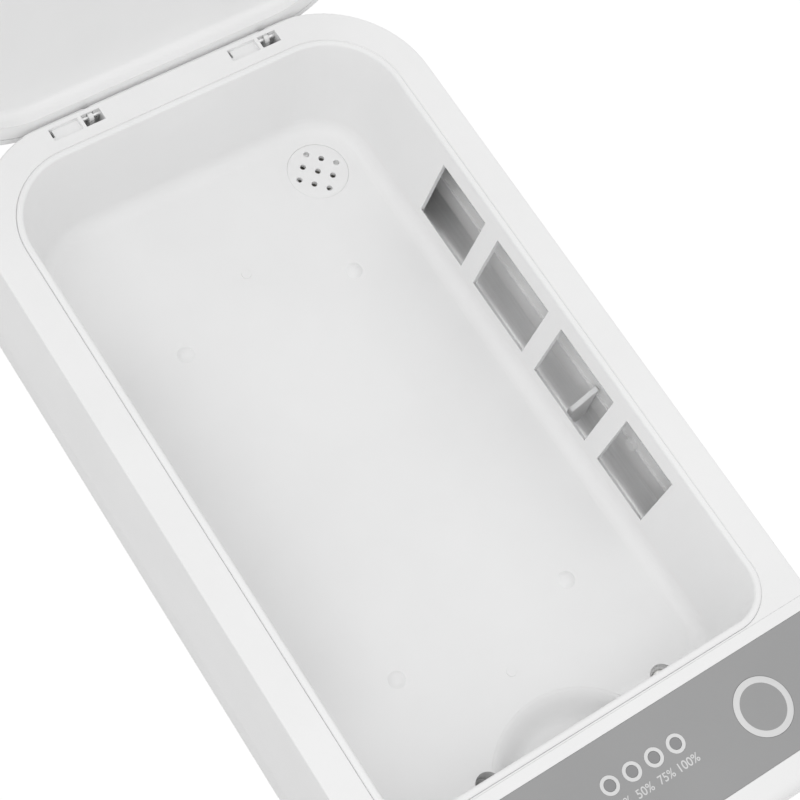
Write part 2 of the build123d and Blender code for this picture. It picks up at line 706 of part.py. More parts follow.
def make_tray():
    outer_foot = tray_floor_outline(TRAY_WALL, FLOOR_UNDER)
    shell = loft([outer_foot, tray_outline(TRAY_WALL, RIM_Z)], ruled=True)
    collar = extrude(tray_outline(BEAD_WIDTH, RIM_Z - COLLAR_DEEP), COLLAR_DEEP + BEAD_PROUD)
    shell += collar
    reach = BEAD_WIDTH + FLANGE_REACH
    ring = extrude(tray_outline(reach, DECK_UNDER - FLANGE_THICK), FLANGE_THICK)
    flange_front = PILLAR_SIDE_Y + PILLAR_R + FLANGE_ROOM
    flange_rear = TRAY_REAR - FLANGE_INSET
    shell += ring & block(-HALF, HALF, flange_front, flange_rear, 0, RIM_Z)
    prism = extrude(tray_floor_outline(TRAY_WALL, 0), RIM_Z)
    shell += scoop_cup() & prism
    for x, y, deep in TRAY_SCREWS:
        shell += tray_screw_boss(x, y, deep)
    shell += post(AROMA_X, AROMA_Y, WELL_BOTTOM, FLOOR_UNDER, AROMA_CAP_R + AROMA_LEDGE)

    cavity = loft([tray_floor_outline(0, FLOOR_Z), tray_outline(0, RIM_Z)], ruled=True)
    cavity = fillet(cavity.edges().group_by(Axis.Z)[0], FLOOR_FILLET)
    shell -= cavity
    shell -= extrude(tray_outline(0, RIM_Z), BEAD_PROUD)
    rim = shell.faces().sort_by(Axis.Z)[-1]
    shell = fillet(rim.edges(), BEAD_ROUND)
    shell -= scoop_dish() & extrude(tray_floor_outline(0, 0), RIM_Z)

    for x, y, deep in TRAY_SCREWS:
        shell -= post(x, y, FLOOR_Z - deep, FLOOR_Z + FLOOR_FILLET * 0.6, TRAY_SCREW_R)
        shell -= post(x, y, FLOOR_Z - deep - TRAY_WALL, FLOOR_Z, SCREW_R + SCREW_SLIP)
    cap_hole = AROMA_CAP_R + AROMA_CAP_GAP
    shell -= post(AROMA_X, AROMA_Y, FLOOR_UNDER, FLOOR_Z, cap_hole)
    shell -= post(AROMA_X, AROMA_Y, WELL_BOTTOM, FLOOR_UNDER, CUP_R + SOCKET_SLIP)

    for y0, y1 in WINDOW_SPANS:
        hole = window_cut(y0, y1)
        shell -= hole
        shell -= mirrored(hole)
    for y in NUB_YS:
        for x in (-NUB_X, NUB_X):
            shell += nub(x, y)
    for y in MARK_YS:
        shell += post(0, y, FLOOR_UNDER, FLOOR_Z + MARK_H, MARK_R)
    return shell


def window_cut(y0, y1):
    """Window through the side wall; its sill falls away steeply to the outside."""
    z1 = RIM_Z - WINDOW_TOP
    z0 = z1 - WINDOW_HEIGHT
    sill = TRAY_HALF - TRAY_DRAFT + TRAY_LEAN * (z0 - FLOOR_Z) + SILL_LAND
    inside = TRAY_HALF - 2 * TRAY_DRAFT
    outside = TRAY_HALF + TRAY_DRAFT
    low = z0 - SILL_SLOPE * (outside - sill)
    return prism_y([(inside, z0), (sill, z0), (outside, low), (outside, z1), (inside, z1)], y0, y1)


def nub(x, y):
    """Low dome that keeps the phone off the floor."""
    r = (NUB_R * NUB_R + NUB_H * NUB_H) / (2 * NUB_H)
    ball = Pos(x, y, FLOOR_Z + NUB_H - r) * Sphere(r)
    return ball & post(x, y, FLOOR_Z - TRAY_WALL / 4, FLOOR_Z + NUB_H, NUB_R)


def make_tray_screws():
    return [screw_down(x, y, FLOOR_Z - deep, TRAY_SCREW_LENGTH) for x, y, deep in TRAY_SCREWS]


# ---- lamp bays --------------------------------------------------------------
def make_reflector():
    """Trough of thin sheet under the lamp, higher towards the tray."""
    half, depth, sheet = REFLECTOR_HALF, REFLECTOR_DEPTH, REFLECTOR_SHEET
    ring = Ellipse(half, depth + sheet) - Ellipse(half - sheet, depth)
    trough = Pos(REFLECTOR_X, LAMP_REAR, REFLECTOR_MID_Z) * extrude(Plane.XZ * ring, LAMP_LENGTH)
    x0, x1, x2 = REFLECTOR_LEFT, REFLECTOR_X, REFLECTOR_RIGHT
    trough -= block(x0, x1, LAMP_FRONT, LAMP_REAR, REFLECTOR_INNER_TOP, RIM_Z)
    trough -= block(x1, x2, LAMP_FRONT, LAMP_REAR, REFLECTOR_OUTER_TOP, RIM_Z)
    return trough


def make_bay():
    """Plate beside the lamp, with a ledge, a boss and a clip at each end."""
    y0 = LAMP_FRONT - BAY_MARGIN
    y1 = LAMP_REAR + BAY_MARGIN
    bay = block(BAY_INNER, BAY_OUTER, y0, y1, REFLECTOR_OUTER_TOP, DECK_UNDER)
    ledge_z = RIM_Z - BAY_LEDGE_DROP
    bay += block(BAY_INNER - BAY_LEDGE, BAY_INNER, y0, y1, ledge_z - BAY_LEDGE_THICK, ledge_z)
    bay += along_x(BAY_INNER - BAY_BOSS_PROUD, BAY_INNER, BAY_BOSS_Y, ledge_z, BAY_BOSS_R)
    low = LAMP_Z - CAP_R - CLIP_FOOT
    top = RIM_Z - COLLAR_DEEP - REFLECTOR_GAP
    left = LAMP_X - CAP_R + CLIP_OPENING
    for start in (y0, y1 - BAY_END):
        bay += block(left, BAY_INNER, start, start + BAY_END, low, top)
        bay -= along_y(LAMP_X, start, start + BAY_END, LAMP_Z, CAP_R - CAP_WAIST + SADDLE_FIT)
    return bay


def make_lamp():
    tube = along_y(LAMP_X, LAMP_FRONT, LAMP_REAR, LAMP_Z, LAMP_R)
    return fillet(tube.edges(), LAMP_R * 0.6)


def make_lamp_caps():
    caps = []
    for start in (LAMP_FRONT - BAY_MARGIN, LAMP_REAR - CAP_OVERLAP):
        outer = along_y(LAMP_X, start, start + CAP_LENGTH, LAMP_Z, CAP_R - CAP_WAIST)
        tube = along_y(LAMP_X, LAMP_FRONT, LAMP_REAR, LAMP_Z, LAMP_R + RING_FIT)
        caps.append(outer - tube)
    return caps


def make_saddle():
    """Rib that stands across the trough, with a slanted top."""
    left = REFLECTOR_LEFT + SADDLE_INSET
    right = BAY_INNER - BAY_LEDGE - BAY_GAP
    y0 = SADDLE_Y - SADDLE_THICK / 2
    y1 = SADDLE_Y + SADDLE_THICK / 2
    low = REFLECTOR_BOTTOM
    fin = prism_y(
        [(left, low), (right, low), (right, SADDLE_TOP), (left, SADDLE_LEFT_TOP)], y0, y1
    )
    half = REFLECTOR_HALF - REFLECTOR_SHEET - SADDLE_FIT
    cup = Plane.XZ * Ellipse(half, REFLECTOR_DEPTH - SADDLE_FIT)
    cup = Pos(REFLECTOR_X, y1, REFLECTOR_MID_Z) * extrude(cup, SADDLE_THICK)
    above = block(REFLECTOR_X, right, y0, y1, REFLECTOR_OUTER_TOP, SADDLE_TOP)
    return fin & (cup + above)


# ---- aroma parts ------------------------------------------------------------
def make_aroma_cap():
    x, y = AROMA_X, AROMA_Y
    disc = post(x, y, FLOOR_UNDER, FLOOR_Z, AROMA_CAP_R)
    disc = fillet(disc.edges().group_by(Axis.Z)[-1], AROMA_EDGE)
    skirt_low = WELL_BOTTOM + SOCKET_SLIP
    skirt = post(x, y, skirt_low, FLOOR_UNDER, CUP_R)
    skirt -= post(x, y, skirt_low, FLOOR_UNDER, CUP_R - SKIRT_WALL)
    cap = disc + skirt
    reach = AROMA_PITCH * math.sqrt(0.5)
    for i in (-1, 0, 1):
        for j in (-1, 0, 1):
            hole_x = x + reach * (i - j)
            hole_y = y + reach * (i + j)
            cap -= post(hole_x, hole_y, skirt_low, FLOOR_Z, AROMA_HOLE_R)
    return cap


def make_aroma_cup():
    z = HEATER_Z + HEATER_H
    cup = post(AROMA_X, AROMA_Y, z, z + CUP_H, CUP_R)
    return cup - post(AROMA_X, AROMA_Y, z + CUP_FLOOR, z + CUP_H, CUP_R - CUP_WALL)


def make_aroma_pad():
    z = HEATER_Z + HEATER_H + CUP_FLOOR
    return post(AROMA_X, AROMA_Y, z, z + PAD_H, CUP_R - CUP_WALL - SCREW_SLIP)


def make_aroma_heater():
    return post(AROMA_X, AROMA_Y, HEATER_Z, HEATER_Z + HEATER_H, CUP_R - SCREW_SLIP)


# ---- boards -----------------------------------------------------------------
def make_main_board():
    board = block(-BOARD_HALF, BOARD_HALF, BOARD_FRONT, BOARD_REAR, BOARD_Z, BOARD_TOP)
    for x, y in BOARD_SCREWS:
        board -= post(x, y, BOARD_Z, BOARD_TOP, SCREW_R + SCREW_SLIP)
    return board


def make_board_screws():
    length = BOARD_TOP - BASE_FLOOR - SCREW_SLIP
    return [screw_down(x, y, BOARD_TOP, length) for x, y in BOARD_SCREWS]


def make_transformer():
    x, y = -BOARD_HALF * 0.41, BOARD_MIDDLE + BOARD_LENGTH * 0.2
    core = plate_at(x, y, CORE_WIDTH, CORE_LENGTH, BOARD_TOP, BOARD_TOP + CORE_HEIGHT)
    bobbin = plate_at(x, y, BOBBIN_WIDTH, BOBBIN_LENGTH, BOARD_TOP, BOARD_TOP + BOBBIN_HEIGHT)
    return core + bobbin


def make_capacitors():
    x, y = BOARD_HALF * 0.35, BOARD_MIDDLE + BOARD_LENGTH * 0.2
    places = [x - CAN_PITCH, x, x + CAN_PITCH]
    return [post(place, y, BOARD_TOP, BOARD_TOP + CAN_HEIGHT, CAN_R) for place in places]


def make_chips():
    places = [(-0.47, -0.2, CHIP_LARGE), (0.18, -0.16, CHIP_MIDDLE), (0.59, -0.24, CHIP_SMALL)]
    chips = []
    for across, along, side in places:
        x, y = BOARD_HALF * across, BOARD_MIDDLE + BOARD_LENGTH * along
        chips.append(plate_at(x, y, side, side, BOARD_TOP, BOARD_TOP + CHIP_HEIGHT))
    return chips


def make_connectors():
    aside = BOARD_HALF - PLUG_WIDTH
    places = [
        (-aside, BOARD_MIDDLE),
        (aside, BOARD_MIDDLE),
        (0.0, BOARD_FRONT + BOARD_HOLE_INSET),
        (0.0, BOARD_REAR - BOARD_HOLE_INSET),
    ]
    top = BOARD_TOP + PLUG_HEIGHT
    return [plate_at(x, y, PLUG_LENGTH, PLUG_WIDTH, BOARD_TOP, top) for x, y in places]


def make_power_board():
    half = POWER_BOARD_HALF
    return block(-half, half, POWER_BOARD_FRONT, POWER_BOARD_REAR, POWER_BOARD_Z, SOCKET_Z)


def make_usb_socket():
    """Metal shell of the power inlet, open towards the rear."""
    y1 = REAR - SOCKET_SUNK
    y0 = y1 - SOCKET_LENGTH
    half, sheet = SOCKET_W / 2, SOCKET_SHEET
    top = SOCKET_Z + SOCKET_H
    shell = block(-half, half, y0, y1, SOCKET_Z, top)
    shell -= block(sheet - half, half - sheet, y0 + SOCKET_BACK, y1, SOCKET_Z + sheet, top - sheet)
    middle = SOCKET_Z + SOCKET_H / 2
    return shell + block(
        -TONGUE_WIDTH / 2,
        TONGUE_WIDTH / 2,
        y0 + SOCKET_BACK,
        y1 - TONGUE_SHORT,
        middle - TONGUE_THICK / 2,
        middle + TONGUE_THICK / 2,
    )


def make_control_board():
    half = CONTROL_HALF
    board = block(-half, half, CONTROL_FRONT, CONTROL_REAR, CONTROL_Z, CONTROL_TOP)
    for x, y in CONTROL_SCREWS:
        board -= post(x, y, CONTROL_Z, CONTROL_TOP, SCREW_R + SCREW_SLIP)
    return board


def make_control_screws():
    head = CONTROL_Z - SCREW_HEAD_H
    return [screw_up(x, y, head, CONTROL_SCREW_LENGTH) for x, y in CONTROL_SCREWS]


def make_switches():
    low = CONTROL_TOP
    shoulder = low + SWITCH_HEIGHT
    top = KEY_STEM_Z - KEY_TRAVEL - KEY_REST
    parts = []
    for side in (-1, 1):
        x = side * KEY_X
        body = plate_at(x, KEY_Y, 2 * SWITCH_HALF, 2 * SWITCH_HALF, low, shoulder)
        parts.append(body + post(x, KEY_Y, shoulder, top, SWITCH_STEM_R))
    return parts


def make_leds():
    top = CONTROL_TOP + STATUS_LED_HEIGHT
    width, length = STATUS_LED_WIDTH, STATUS_LED_LENGTH
    return [plate_at(x, LED_Y, width, length, CONTROL_TOP, top) for x in LED_XS]


def make_light_pipes():
    low = CONTROL_TOP + STATUS_LED_HEIGHT + LED_PIPE_GAP
    collar_low = DECK_UNDER - LED_PIPE_FLANGE
    pipes = []
    for x in LED_XS:
        pipe = post(x, LED_Y, low, RIM_Z, LED_PIPE_R)
        pipes.append(pipe + post(x, LED_Y, collar_low, DECK_UNDER, LED_PIPE_R + LED_PIPE_FLANGE))
    return pipes


def make_led_rings():
    rings = []
    for x in LED_XS:
        ring = post(x, LED_Y, PANEL_Z, RIM_Z, LED_RING_R)
        rings.append(ring - post(x, LED_Y, PANEL_Z, RIM_Z, LED_PIPE_R + RING_FIT))
    return rings


def make_overlay():
    panel = outline(
        PANEL_HALF - PANEL_FIT,
        PANEL_FRONT + PANEL_FIT,
        PANEL_REAR - PANEL_FIT,
        PANEL_CORNER,
        PANEL_CORNER,
        PANEL_Z,
    )
    plate = extrude(panel, PANEL_THICK)
    for side in (-1, 1):
        plate -= post(side * KEY_X, KEY_Y, PANEL_Z, RIM_Z, KEY_R + KEY_GAP)
    for x in LED_XS:
        plate -= post(x, LED_Y, PANEL_Z, RIM_Z, LED_RING_R + RING_FIT)
    return plate


def make_key(side):
    x = side * KEY_X
    shoulder = DECK_UNDER - KEY_REST
    cap = post(x, KEY_Y, shoulder, RIM_Z, KEY_R)
    flange = post(x, KEY_Y, KEY_LOW, shoulder, KEY_R + KEY_FLANGE)
    stem = post(x, KEY_Y, KEY_STEM_Z, KEY_LOW, KEY_STEM_R)
    return cap + flange + stem


def make_ribbon():
    """Flat cable from the main board to the control board."""
    half, thick, step = RIBBON_WIDTH / 2, RIBBON_THICK, RIBBON_STEP
    near = BOARD_FRONT - step
    far = SEAM_Y - step
    low = BASE_FLOOR + RIBBON_OFF_FLOOR
    top = CONTROL_Z - RIBBON_HEAD_HEIGHT
    plug_z = BOARD_TOP + SWITCH_HEIGHT
    flat = block(-half, half, far, near, low, low + thick)
    rise = block(-half, half, near, near + thick, low, plug_z + thick)
    plug_in = block(-half, half, near, BOARD_FRONT + SWITCH_HEIGHT, plug_z, plug_z + thick)
    climb = block(-half, half, far - thick, far, low, top)
    plug_up = block(-half, half, far - RIBBON_HEAD, far, top - thick, top)
    middle = far - RIBBON_HEAD
    head = plate_at(0, middle, RIBBON_WIDTH + 2 * thick, RIBBON_HEAD, top - thick, CONTROL_Z)
    return flat + rise + plug_in + climb + plug_up + head


def make_lid_sensor():
    """Small board with the switch that feels the magnet in the lid."""
    low = DECK_UNDER - SENSOR_HEIGHT
    return plate_at(MAGNET_X, MAGNET_Y, SENSOR_WIDTH, SENSOR_LENGTH, low, DECK_UNDER)


# ---- lid --------------------------------------------------------------------
def lid_outline(inset, front_inset, z):
    return outline(
        HALF - inset,
        LID_FRONT + front_inset,
        REAR - inset,
        max(LID_FRONT_CORNER - inset, LID_INNER_CORNER),
        REAR_CORNER - inset,
        z,
    )


def make_lid_shell():
    shell = extrude(lid_outline(0, 0, LID_Z), LID_HEIGHT)
    shell = fillet(shell.edges().group_by(Axis.Z)[-1], LID_EDGE)
    shell = fillet(shell.edges().group_by(Axis.Z)[0], EDGE_ROUND)
    return shell - extrude(lid_outline(LID_WALL, LID_WALL, LID_Z), LID_HEIGHT - LID_SKIN)


def make_lid_liner():
    inset = LID_WALL + LINER_GAP
    thick = LID_RECESS + LINER_SHEET
    plate = extrude(lid_outline(inset, inset, LID_Z), thick)
    recess = extrude(lid_outline(LID_LAND, LID_FRONT_LAND, LID_Z), LID_RECESS)
    recess = fillet(recess.edges().group_by(Axis.Z)[-1], LID_RECESS_ROUND)
    plate -= recess
    channel_z = LID_Z + LINER_SHEET
    groove = extrude(lid_outline(inset + LINER_SHEET, inset, channel_z), thick)
    groove -= extrude(lid_outline(LID_LAND - LINER_SHEET, inset + LINER_SHEET, channel_z), thick)
    keep = block(-HALF, HALF, LID_FRONT + LINER_SOLID_FRONT, REAR, 0, LID_TOP)
    return plate - (groove & keep)


def make_hinge_arm(start):
    """Arm on the lid: knuckle round the pin, reach through the rear wall, hook to the lid."""
    x0, x1 = arm_span(start)
    y, z = HINGE_Y, HINGE_Z
    out = REAR + ARM_GAP
    back = out + ARM_THICK
    top = LID_TOP - ARM_TOP
    arm = along_x(x0, x1, y, z, KNUCKLE_R)
    arm += block(x0, x1, y, back, z - ARM_THICK, z + ARM_THICK)
    arm += block(x0, x1, out, back, z - ARM_THICK, top)
    arm += block(x0 - ARM_HOOK, x1 + ARM_HOOK, REAR, back, LID_Z + EDGE_ROUND, top)
    return arm - along_x(x0, x1, y, z, PIN_R + PIN_FIT)


def make_hinge_bracket(start):
    """Two ears under the deck that press the pin into its groove."""
    low, high = hatch_span(start)
    y0 = POCKET_FRONT - EAR_FRONT
    y1 = REAR - WALL - BAY_GAP
    z0 = HINGE_Z - EAR_DROP
    ear_low = block(low - EAR_THICK, low, y0, y1, z0, DECK_UNDER)
    ear_high = block(high, high + EAR_THICK, y0, y1, z0, DECK_UNDER)
    cross = block(low, high, y0, y0 + CROSS_THICK, z0, DECK_UNDER)
    return ear_low + ear_high + cross - pin_bore(start, PIN_R + PIN_SEAT)


def make_hinge_pins():
    return [pin_bore(start, PIN_R) for start in POCKET_XS]


def make_lid_magnet():
    z = LID_Z + LINER_SHEET
    return plate_at(MAGNET_X, MAGNET_Y, MAGNET_WIDTH, MAGNET_LENGTH, z, z + MAGNET_HEIGHT)


def make_lid_pads():
    """Soft buttons under the land that meet the rim."""
    pads = []
    for side in (-1, 1):
        for y in (LID_FRONT + PAD_FRONT, REAR - PAD_REAR):
            x = side * (HALF - PAD_SIDE)
            pads.append(post(x, y, LID_Z - ARM_GAP, LID_Z, PAD_R))
    return pads


save("base_cover", make_base_cover())
save("base_screws", *make_base_screws())
save("housing", make_housing())
save("front_cover", make_front_cover())
save("tray", make_tray())
save("tray_screws", *make_tray_screws())
for side_name, place in (("right", lambda s: s), ("left", mirrored)):
    save("reflector_" + side_name, place(make_reflector()))
    save("lamp_bay_" + side_name, place(make_bay()))
    save("lamp_" + side_name, place(make_lamp()))
    save("lamp_caps_" + side_name, *[place(cap) for cap in make_lamp_caps()])
    save("lamp_saddle_" + side_name, place(make_saddle()))
save("aroma_cap", make_aroma_cap())
save("aroma_cup", make_aroma_cup())
save("aroma_pad", make_aroma_pad())
save("aroma_heater", make_aroma_heater())
save("main_board", make_main_board())
save("board_screws", *make_board_screws())
save("inverter_transformer", make_transformer())
save("capacitors", *make_capacitors())
save("board_chips", *make_chips())
save("wire_connectors", *make_connectors())
save("power_board", make_power_board())
save("usb_socket", make_usb_socket())
save("control_board", make_control_board())
save("control_board_screws", *make_control_screws())
save("tact_switches", *make_switches())
save("status_leds", *make_leds())
save("light_pipes", *make_light_pipes())
save("led_rings", *make_led_rings())
save("panel_overlay", make_overlay())
save("sterilize_key", make_key(-1))
save("aroma_key", make_key(1))
save("ribbon_cable", make_ribbon())
save("lid_sensor", make_lid_sensor())
save("hinge_pins", *make_hinge_pins())
for hinge_name, hinge_start in zip(("left", "right"), POCKET_XS):
    save("hinge_bracket_" + hinge_name, make_hinge_bracket(hinge_start))
    save("hinge_arm_" + hinge_name, opened(make_hinge_arm(hinge_start)))
save("lid_shell", opened(make_lid_shell()))
save("lid_liner", opened(make_lid_liner()))
save("lid_magnet", opened(make_lid_magnet()))
save("lid_pads", *[opened(pad) for pad in make_lid_pads()])
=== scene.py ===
import bpy
import math
from mathutils import Matrix, Vector


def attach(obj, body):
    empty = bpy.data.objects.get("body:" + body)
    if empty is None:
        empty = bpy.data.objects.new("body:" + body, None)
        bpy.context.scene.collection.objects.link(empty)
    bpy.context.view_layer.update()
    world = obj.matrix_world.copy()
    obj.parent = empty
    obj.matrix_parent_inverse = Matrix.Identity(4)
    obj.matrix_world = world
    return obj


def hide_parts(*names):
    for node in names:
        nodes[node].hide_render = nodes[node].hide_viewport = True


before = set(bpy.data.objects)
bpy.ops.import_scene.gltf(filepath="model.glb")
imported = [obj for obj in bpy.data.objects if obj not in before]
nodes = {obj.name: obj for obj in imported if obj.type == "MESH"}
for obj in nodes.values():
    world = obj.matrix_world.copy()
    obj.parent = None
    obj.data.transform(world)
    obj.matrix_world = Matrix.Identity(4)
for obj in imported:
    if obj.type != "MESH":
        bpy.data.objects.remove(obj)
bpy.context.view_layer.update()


# ---- Camera -----------------------------------------------------------------
# A long lens looks down over the front left corner, so the tray fills the view
# and the open lid and the far corner of the panel run out of it.
EYE = Vector((-0.15574, -0.11569, 0.44967))
VIEW_RIGHT = Vector((0.82672, -0.54012, 0.15748))
VIEW_UP = Vector((0.44029, 0.79537, 0.41657))
VIEW_BACK = Vector((-0.35025, -0.27506, 0.89536))
camera_data = bpy.data.cameras.new("camera")
camera_data.lens = 91.893
camera_data.sensor_width = 36.0
camera_data.clip_start = 0.01
camera = bpy.data.objects.new("camera", camera_data)
camera.matrix_world = Matrix.Translation(EYE) @ Matrix(
    (VIEW_RIGHT, VIEW_UP, VIEW_BACK)
).transposed().to_4x4()
bpy.context.scene.collection.objects.link(camera)
bpy.context.scene.camera = camera


# ---- Base cover -------------------------------------------------------------
# The bottom pan: injection-moulded white plastic with a fine spark-eroded grain,
# screwed up into the pillars of the upper body.
MM = 0.001


def wire(tree, value, socket):
    """Link a socket, or set a plain value on it."""
    if isinstance(value, bpy.types.NodeSocket):
        tree.links.new(value, socket)
    else:
        socket.default_value = value


def put(tree, kind, values, **settings):
    """Add a node, apply its settings, then fill its inputs."""
    made = tree.nodes.new(kind)
    for key, value in settings.items():
        setattr(made, key, value)
    for key, value in values.items():
        wire(tree, value, made.inputs[key])
    return made


def blank_material(name):
    """A material with an empty Principled shader, and the Object coordinates."""
    material = bpy.data.materials.new(name)
    material.use_nodes = True
    tree = material.node_tree
    tree.nodes.clear()
    shader = tree.nodes.new("ShaderNodeBsdfPrincipled")
    output = tree.nodes.new("ShaderNodeOutputMaterial")
    tree.links.new(shader.outputs[0], output.inputs[0])
    place = tree.nodes.new("ShaderNodeTexCoord").outputs["Object"]
    return material, tree, shader, place


def two_tone(tree, factor, dark, light, low=0.35, high=0.65):
    """Blend from one colour to another where the factor goes from low to high."""
    ramp = tree.nodes.new("ShaderNodeValToRGB")
    ramp.color_ramp.elements[0].position = low
    ramp.color_ramp.elements[1].position = high
    ramp.color_ramp.elements[0].color = (*dark, 1.0)
    ramp.color_ramp.elements[1].color = (*light, 1.0)
    tree.links.new(factor, ramp.inputs[0])
    return ramp.outputs[0]


def shade(colour, amount):
    """A lighter or darker step of the same colour."""
    return tuple(min(1.0, c * amount) for c in colour)


def moulded(name, colour, roughness=0.42, grain=0.10, mottle=0.012, soften=0.25):
    """Moulded plastic: faint flow mottling, fine grain and softened edges."""
    material, tree, shader, place = blank_material(name)
    cloud = put(
        tree, "ShaderNodeTexNoise", {"Vector": place, "Scale": 34.0, "Detail": 3.0}
    )
    tone = two_tone(
        tree, cloud.outputs[0], shade(colour, 1 - mottle), shade(colour, 1 + mottle)
    )
    wire(tree, tone, shader.inputs["Base Color"])
    sheen = put(
        tree, "ShaderNodeTexNoise", {"Vector": place, "Scale": 420.0, "Detail": 4.0}
    )
    rough = put(
        tree,
        "ShaderNodeMapRange",
        {
            "Value": sheen.outputs[0],
            "To Min": roughness - 0.05,
            "To Max": roughness + 0.05,
        },
    )
    wire(tree, rough.outputs[0], shader.inputs["Roughness"])
    edge = put(tree, "ShaderNodeBevel", {"Radius": soften * MM}, samples=4)
    pits = put(
        tree, "ShaderNodeTexNoise", {"Vector": place, "Scale": 2600.0, "Detail": 2.0}
    )
    relief = put(
        tree,
        "ShaderNodeBump",
        {
            "Strength": grain,
            "Distance": 0.03 * MM,
            "Height": pits.outputs[0],
            "Normal": edge.outputs[0],
        },
    )
    wire(tree, relief.outputs[0], shader.inputs["Normal"])
    return material


def dress(names, material):
    """Give CAD nodes their material."""
    for name in names:
        data = nodes[name].data
        data.materials.clear()
        data.materials.append(material)


BASE_WHITE = (0.89, 0.89, 0.89)
dress(["base_cover"], moulded("base_white", BASE_WHITE, roughness=0.5, grain=0.16))


# ---- Base screws ------------------------------------------------------------
# Zinc-plated pan-head screws with a cross recess and a cut thread, driven up
# through the base cover into the pillars of the housing and the front cover.
def growing_tree(name, sizes):
    """Start a Geometry Nodes tree that takes named sizes and a material."""
    tree = bpy.data.node_groups.new(name, "GeometryNodeTree")
    face = tree.interface
    face.new_socket("Geometry", in_out="INPUT", socket_type="NodeSocketGeometry")
    for label, value in sizes.items():
        kind = "NodeSocketInt" if isinstance(value, int) else "NodeSocketFloat"
        socket = face.new_socket(label, in_out="INPUT", socket_type=kind)
        socket.default_value = value
    face.new_socket("Material", in_out="INPUT", socket_type="NodeSocketMaterial")
    face.new_socket("Geometry", in_out="OUTPUT", socket_type="NodeSocketGeometry")
    given = tree.nodes.new("NodeGroupInput").outputs
    result = tree.nodes.new("NodeGroupOutput")
    return tree, given, result


def close_tree(tree, given, result, geometry):
    """Every tree ends in real meshes with their material."""
    real = put(tree, "GeometryNodeRealizeInstances", {"Geometry": geometry})
    coated = put(
        tree,
        "GeometryNodeSetMaterial",
        {"Geometry": real.outputs[0], "Material": given["Material"]},
    )
    wire(tree, coated.outputs[0], result.inputs[0])


def on_points(tree, given, shape):
    """Place a shape on each point of the starting mesh."""
    points = put(tree, "GeometryNodeMeshToPoints", {"Mesh": given["Geometry"]})
    placed = put(
        tree,
        "GeometryNodeInstanceOnPoints",
        {"Points": points.outputs[0], "Instance": shape},
    )
    return placed.outputs[0]


def times(tree, a, b, operation="MULTIPLY"):
    """Multiply two values, or combine them by another operation."""
    made = put(tree, "ShaderNodeMath", {0: a, 1: b}, operation=operation)
    return made.outputs[0]


def height_vector(tree, z):
    """A vector that points straight up by z."""
    return put(tree, "ShaderNodeCombineXYZ", {"Z": z}).outputs[0]


def turned(tree, radius, low, high, profile, rings=40, around=48):
    """A lathe: a round bar from low to high, whose radius follows a profile curve."""
    line = put(
        tree,
        "GeometryNodeCurvePrimitiveLine",
        {"Start": height_vector(tree, low), "End": height_vector(tree, high)},
    )
    fine = put(
        tree, "GeometryNodeResampleCurve", {"Curve": line.outputs[0], "Count": rings}
    )
    along = put(tree, "GeometryNodeSplineParameter", {})
    swell = put(tree, "ShaderNodeFloatCurve", {"Value": along.outputs["Factor"]})
    curve = swell.mapping.curves[0]
    curve.points[0].location = profile[0]
    curve.points[1].location = profile[-1]
    for spot in profile[1:-1]:
        curve.points.new(*spot)
    for spot in curve.points:
        spot.handle_type = "VECTOR"
    swell.mapping.update()
    ring = put(
        tree, "GeometryNodeCurvePrimitiveCircle", {"Resolution": around, "Radius": 1.0}
    )
    skin = put(
        tree,
        "GeometryNodeCurveToMesh",
        {
            "Curve": fine.outputs[0],
            "Profile Curve": ring.outputs[0],
            "Scale": times(tree, radius, swell.outputs[0]),
            "Fill Caps": True,
        },
    )
    return skin.outputs[0]


def grow(name, tree, sizes, places, material, body, stands_for=(), crease=0.6):
    """Run a tree over a mesh of points, and seat the plain mesh on its body."""
    seed = bpy.data.meshes.new(name)
    seed.from_pydata([Vector(p) * MM for p in places], [], [])
    piece = bpy.data.objects.new(name, seed)
    bpy.context.scene.collection.objects.link(piece)
    modifier = piece.modifiers.new("grow", "NODES")
    modifier.node_group = tree
    for item in tree.interface.items_tree:
        if item.in_out == "INPUT" and item.name in sizes:
            modifier[item.identifier] = sizes[item.name]
        if item.in_out == "INPUT" and item.name == "Material":
            modifier[item.identifier] = material
    graph = bpy.context.evaluated_depsgraph_get()
    mesh = bpy.data.meshes.new_from_object(piece.evaluated_get(graph))
    piece.modifiers.remove(modifier)
    piece.data = mesh
    mesh.shade_smooth()
    mesh.set_sharp_from_angle(angle=crease)
    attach(piece, body)
    if stands_for:
        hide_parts(*stands_for)
    return piece


SCREW_SIZES = {
    "Head Radius": 2.2 * MM,
    "Head Height": 1.2 * MM,
    "Shank Radius": 1.0 * MM,
    "Shank Length": 7.0 * MM,
    "Pitch": 0.8 * MM,
    "Turn": math.pi,
}
HEAD_PROFILE = [(0.0, 1.0), (0.45, 1.0), (0.72, 0.94), (0.9, 0.76), (1.0, 0.55)]
SHANK_PROFILE = [(0.0, 0.1), (0.14, 0.78), (1.0, 0.84)]


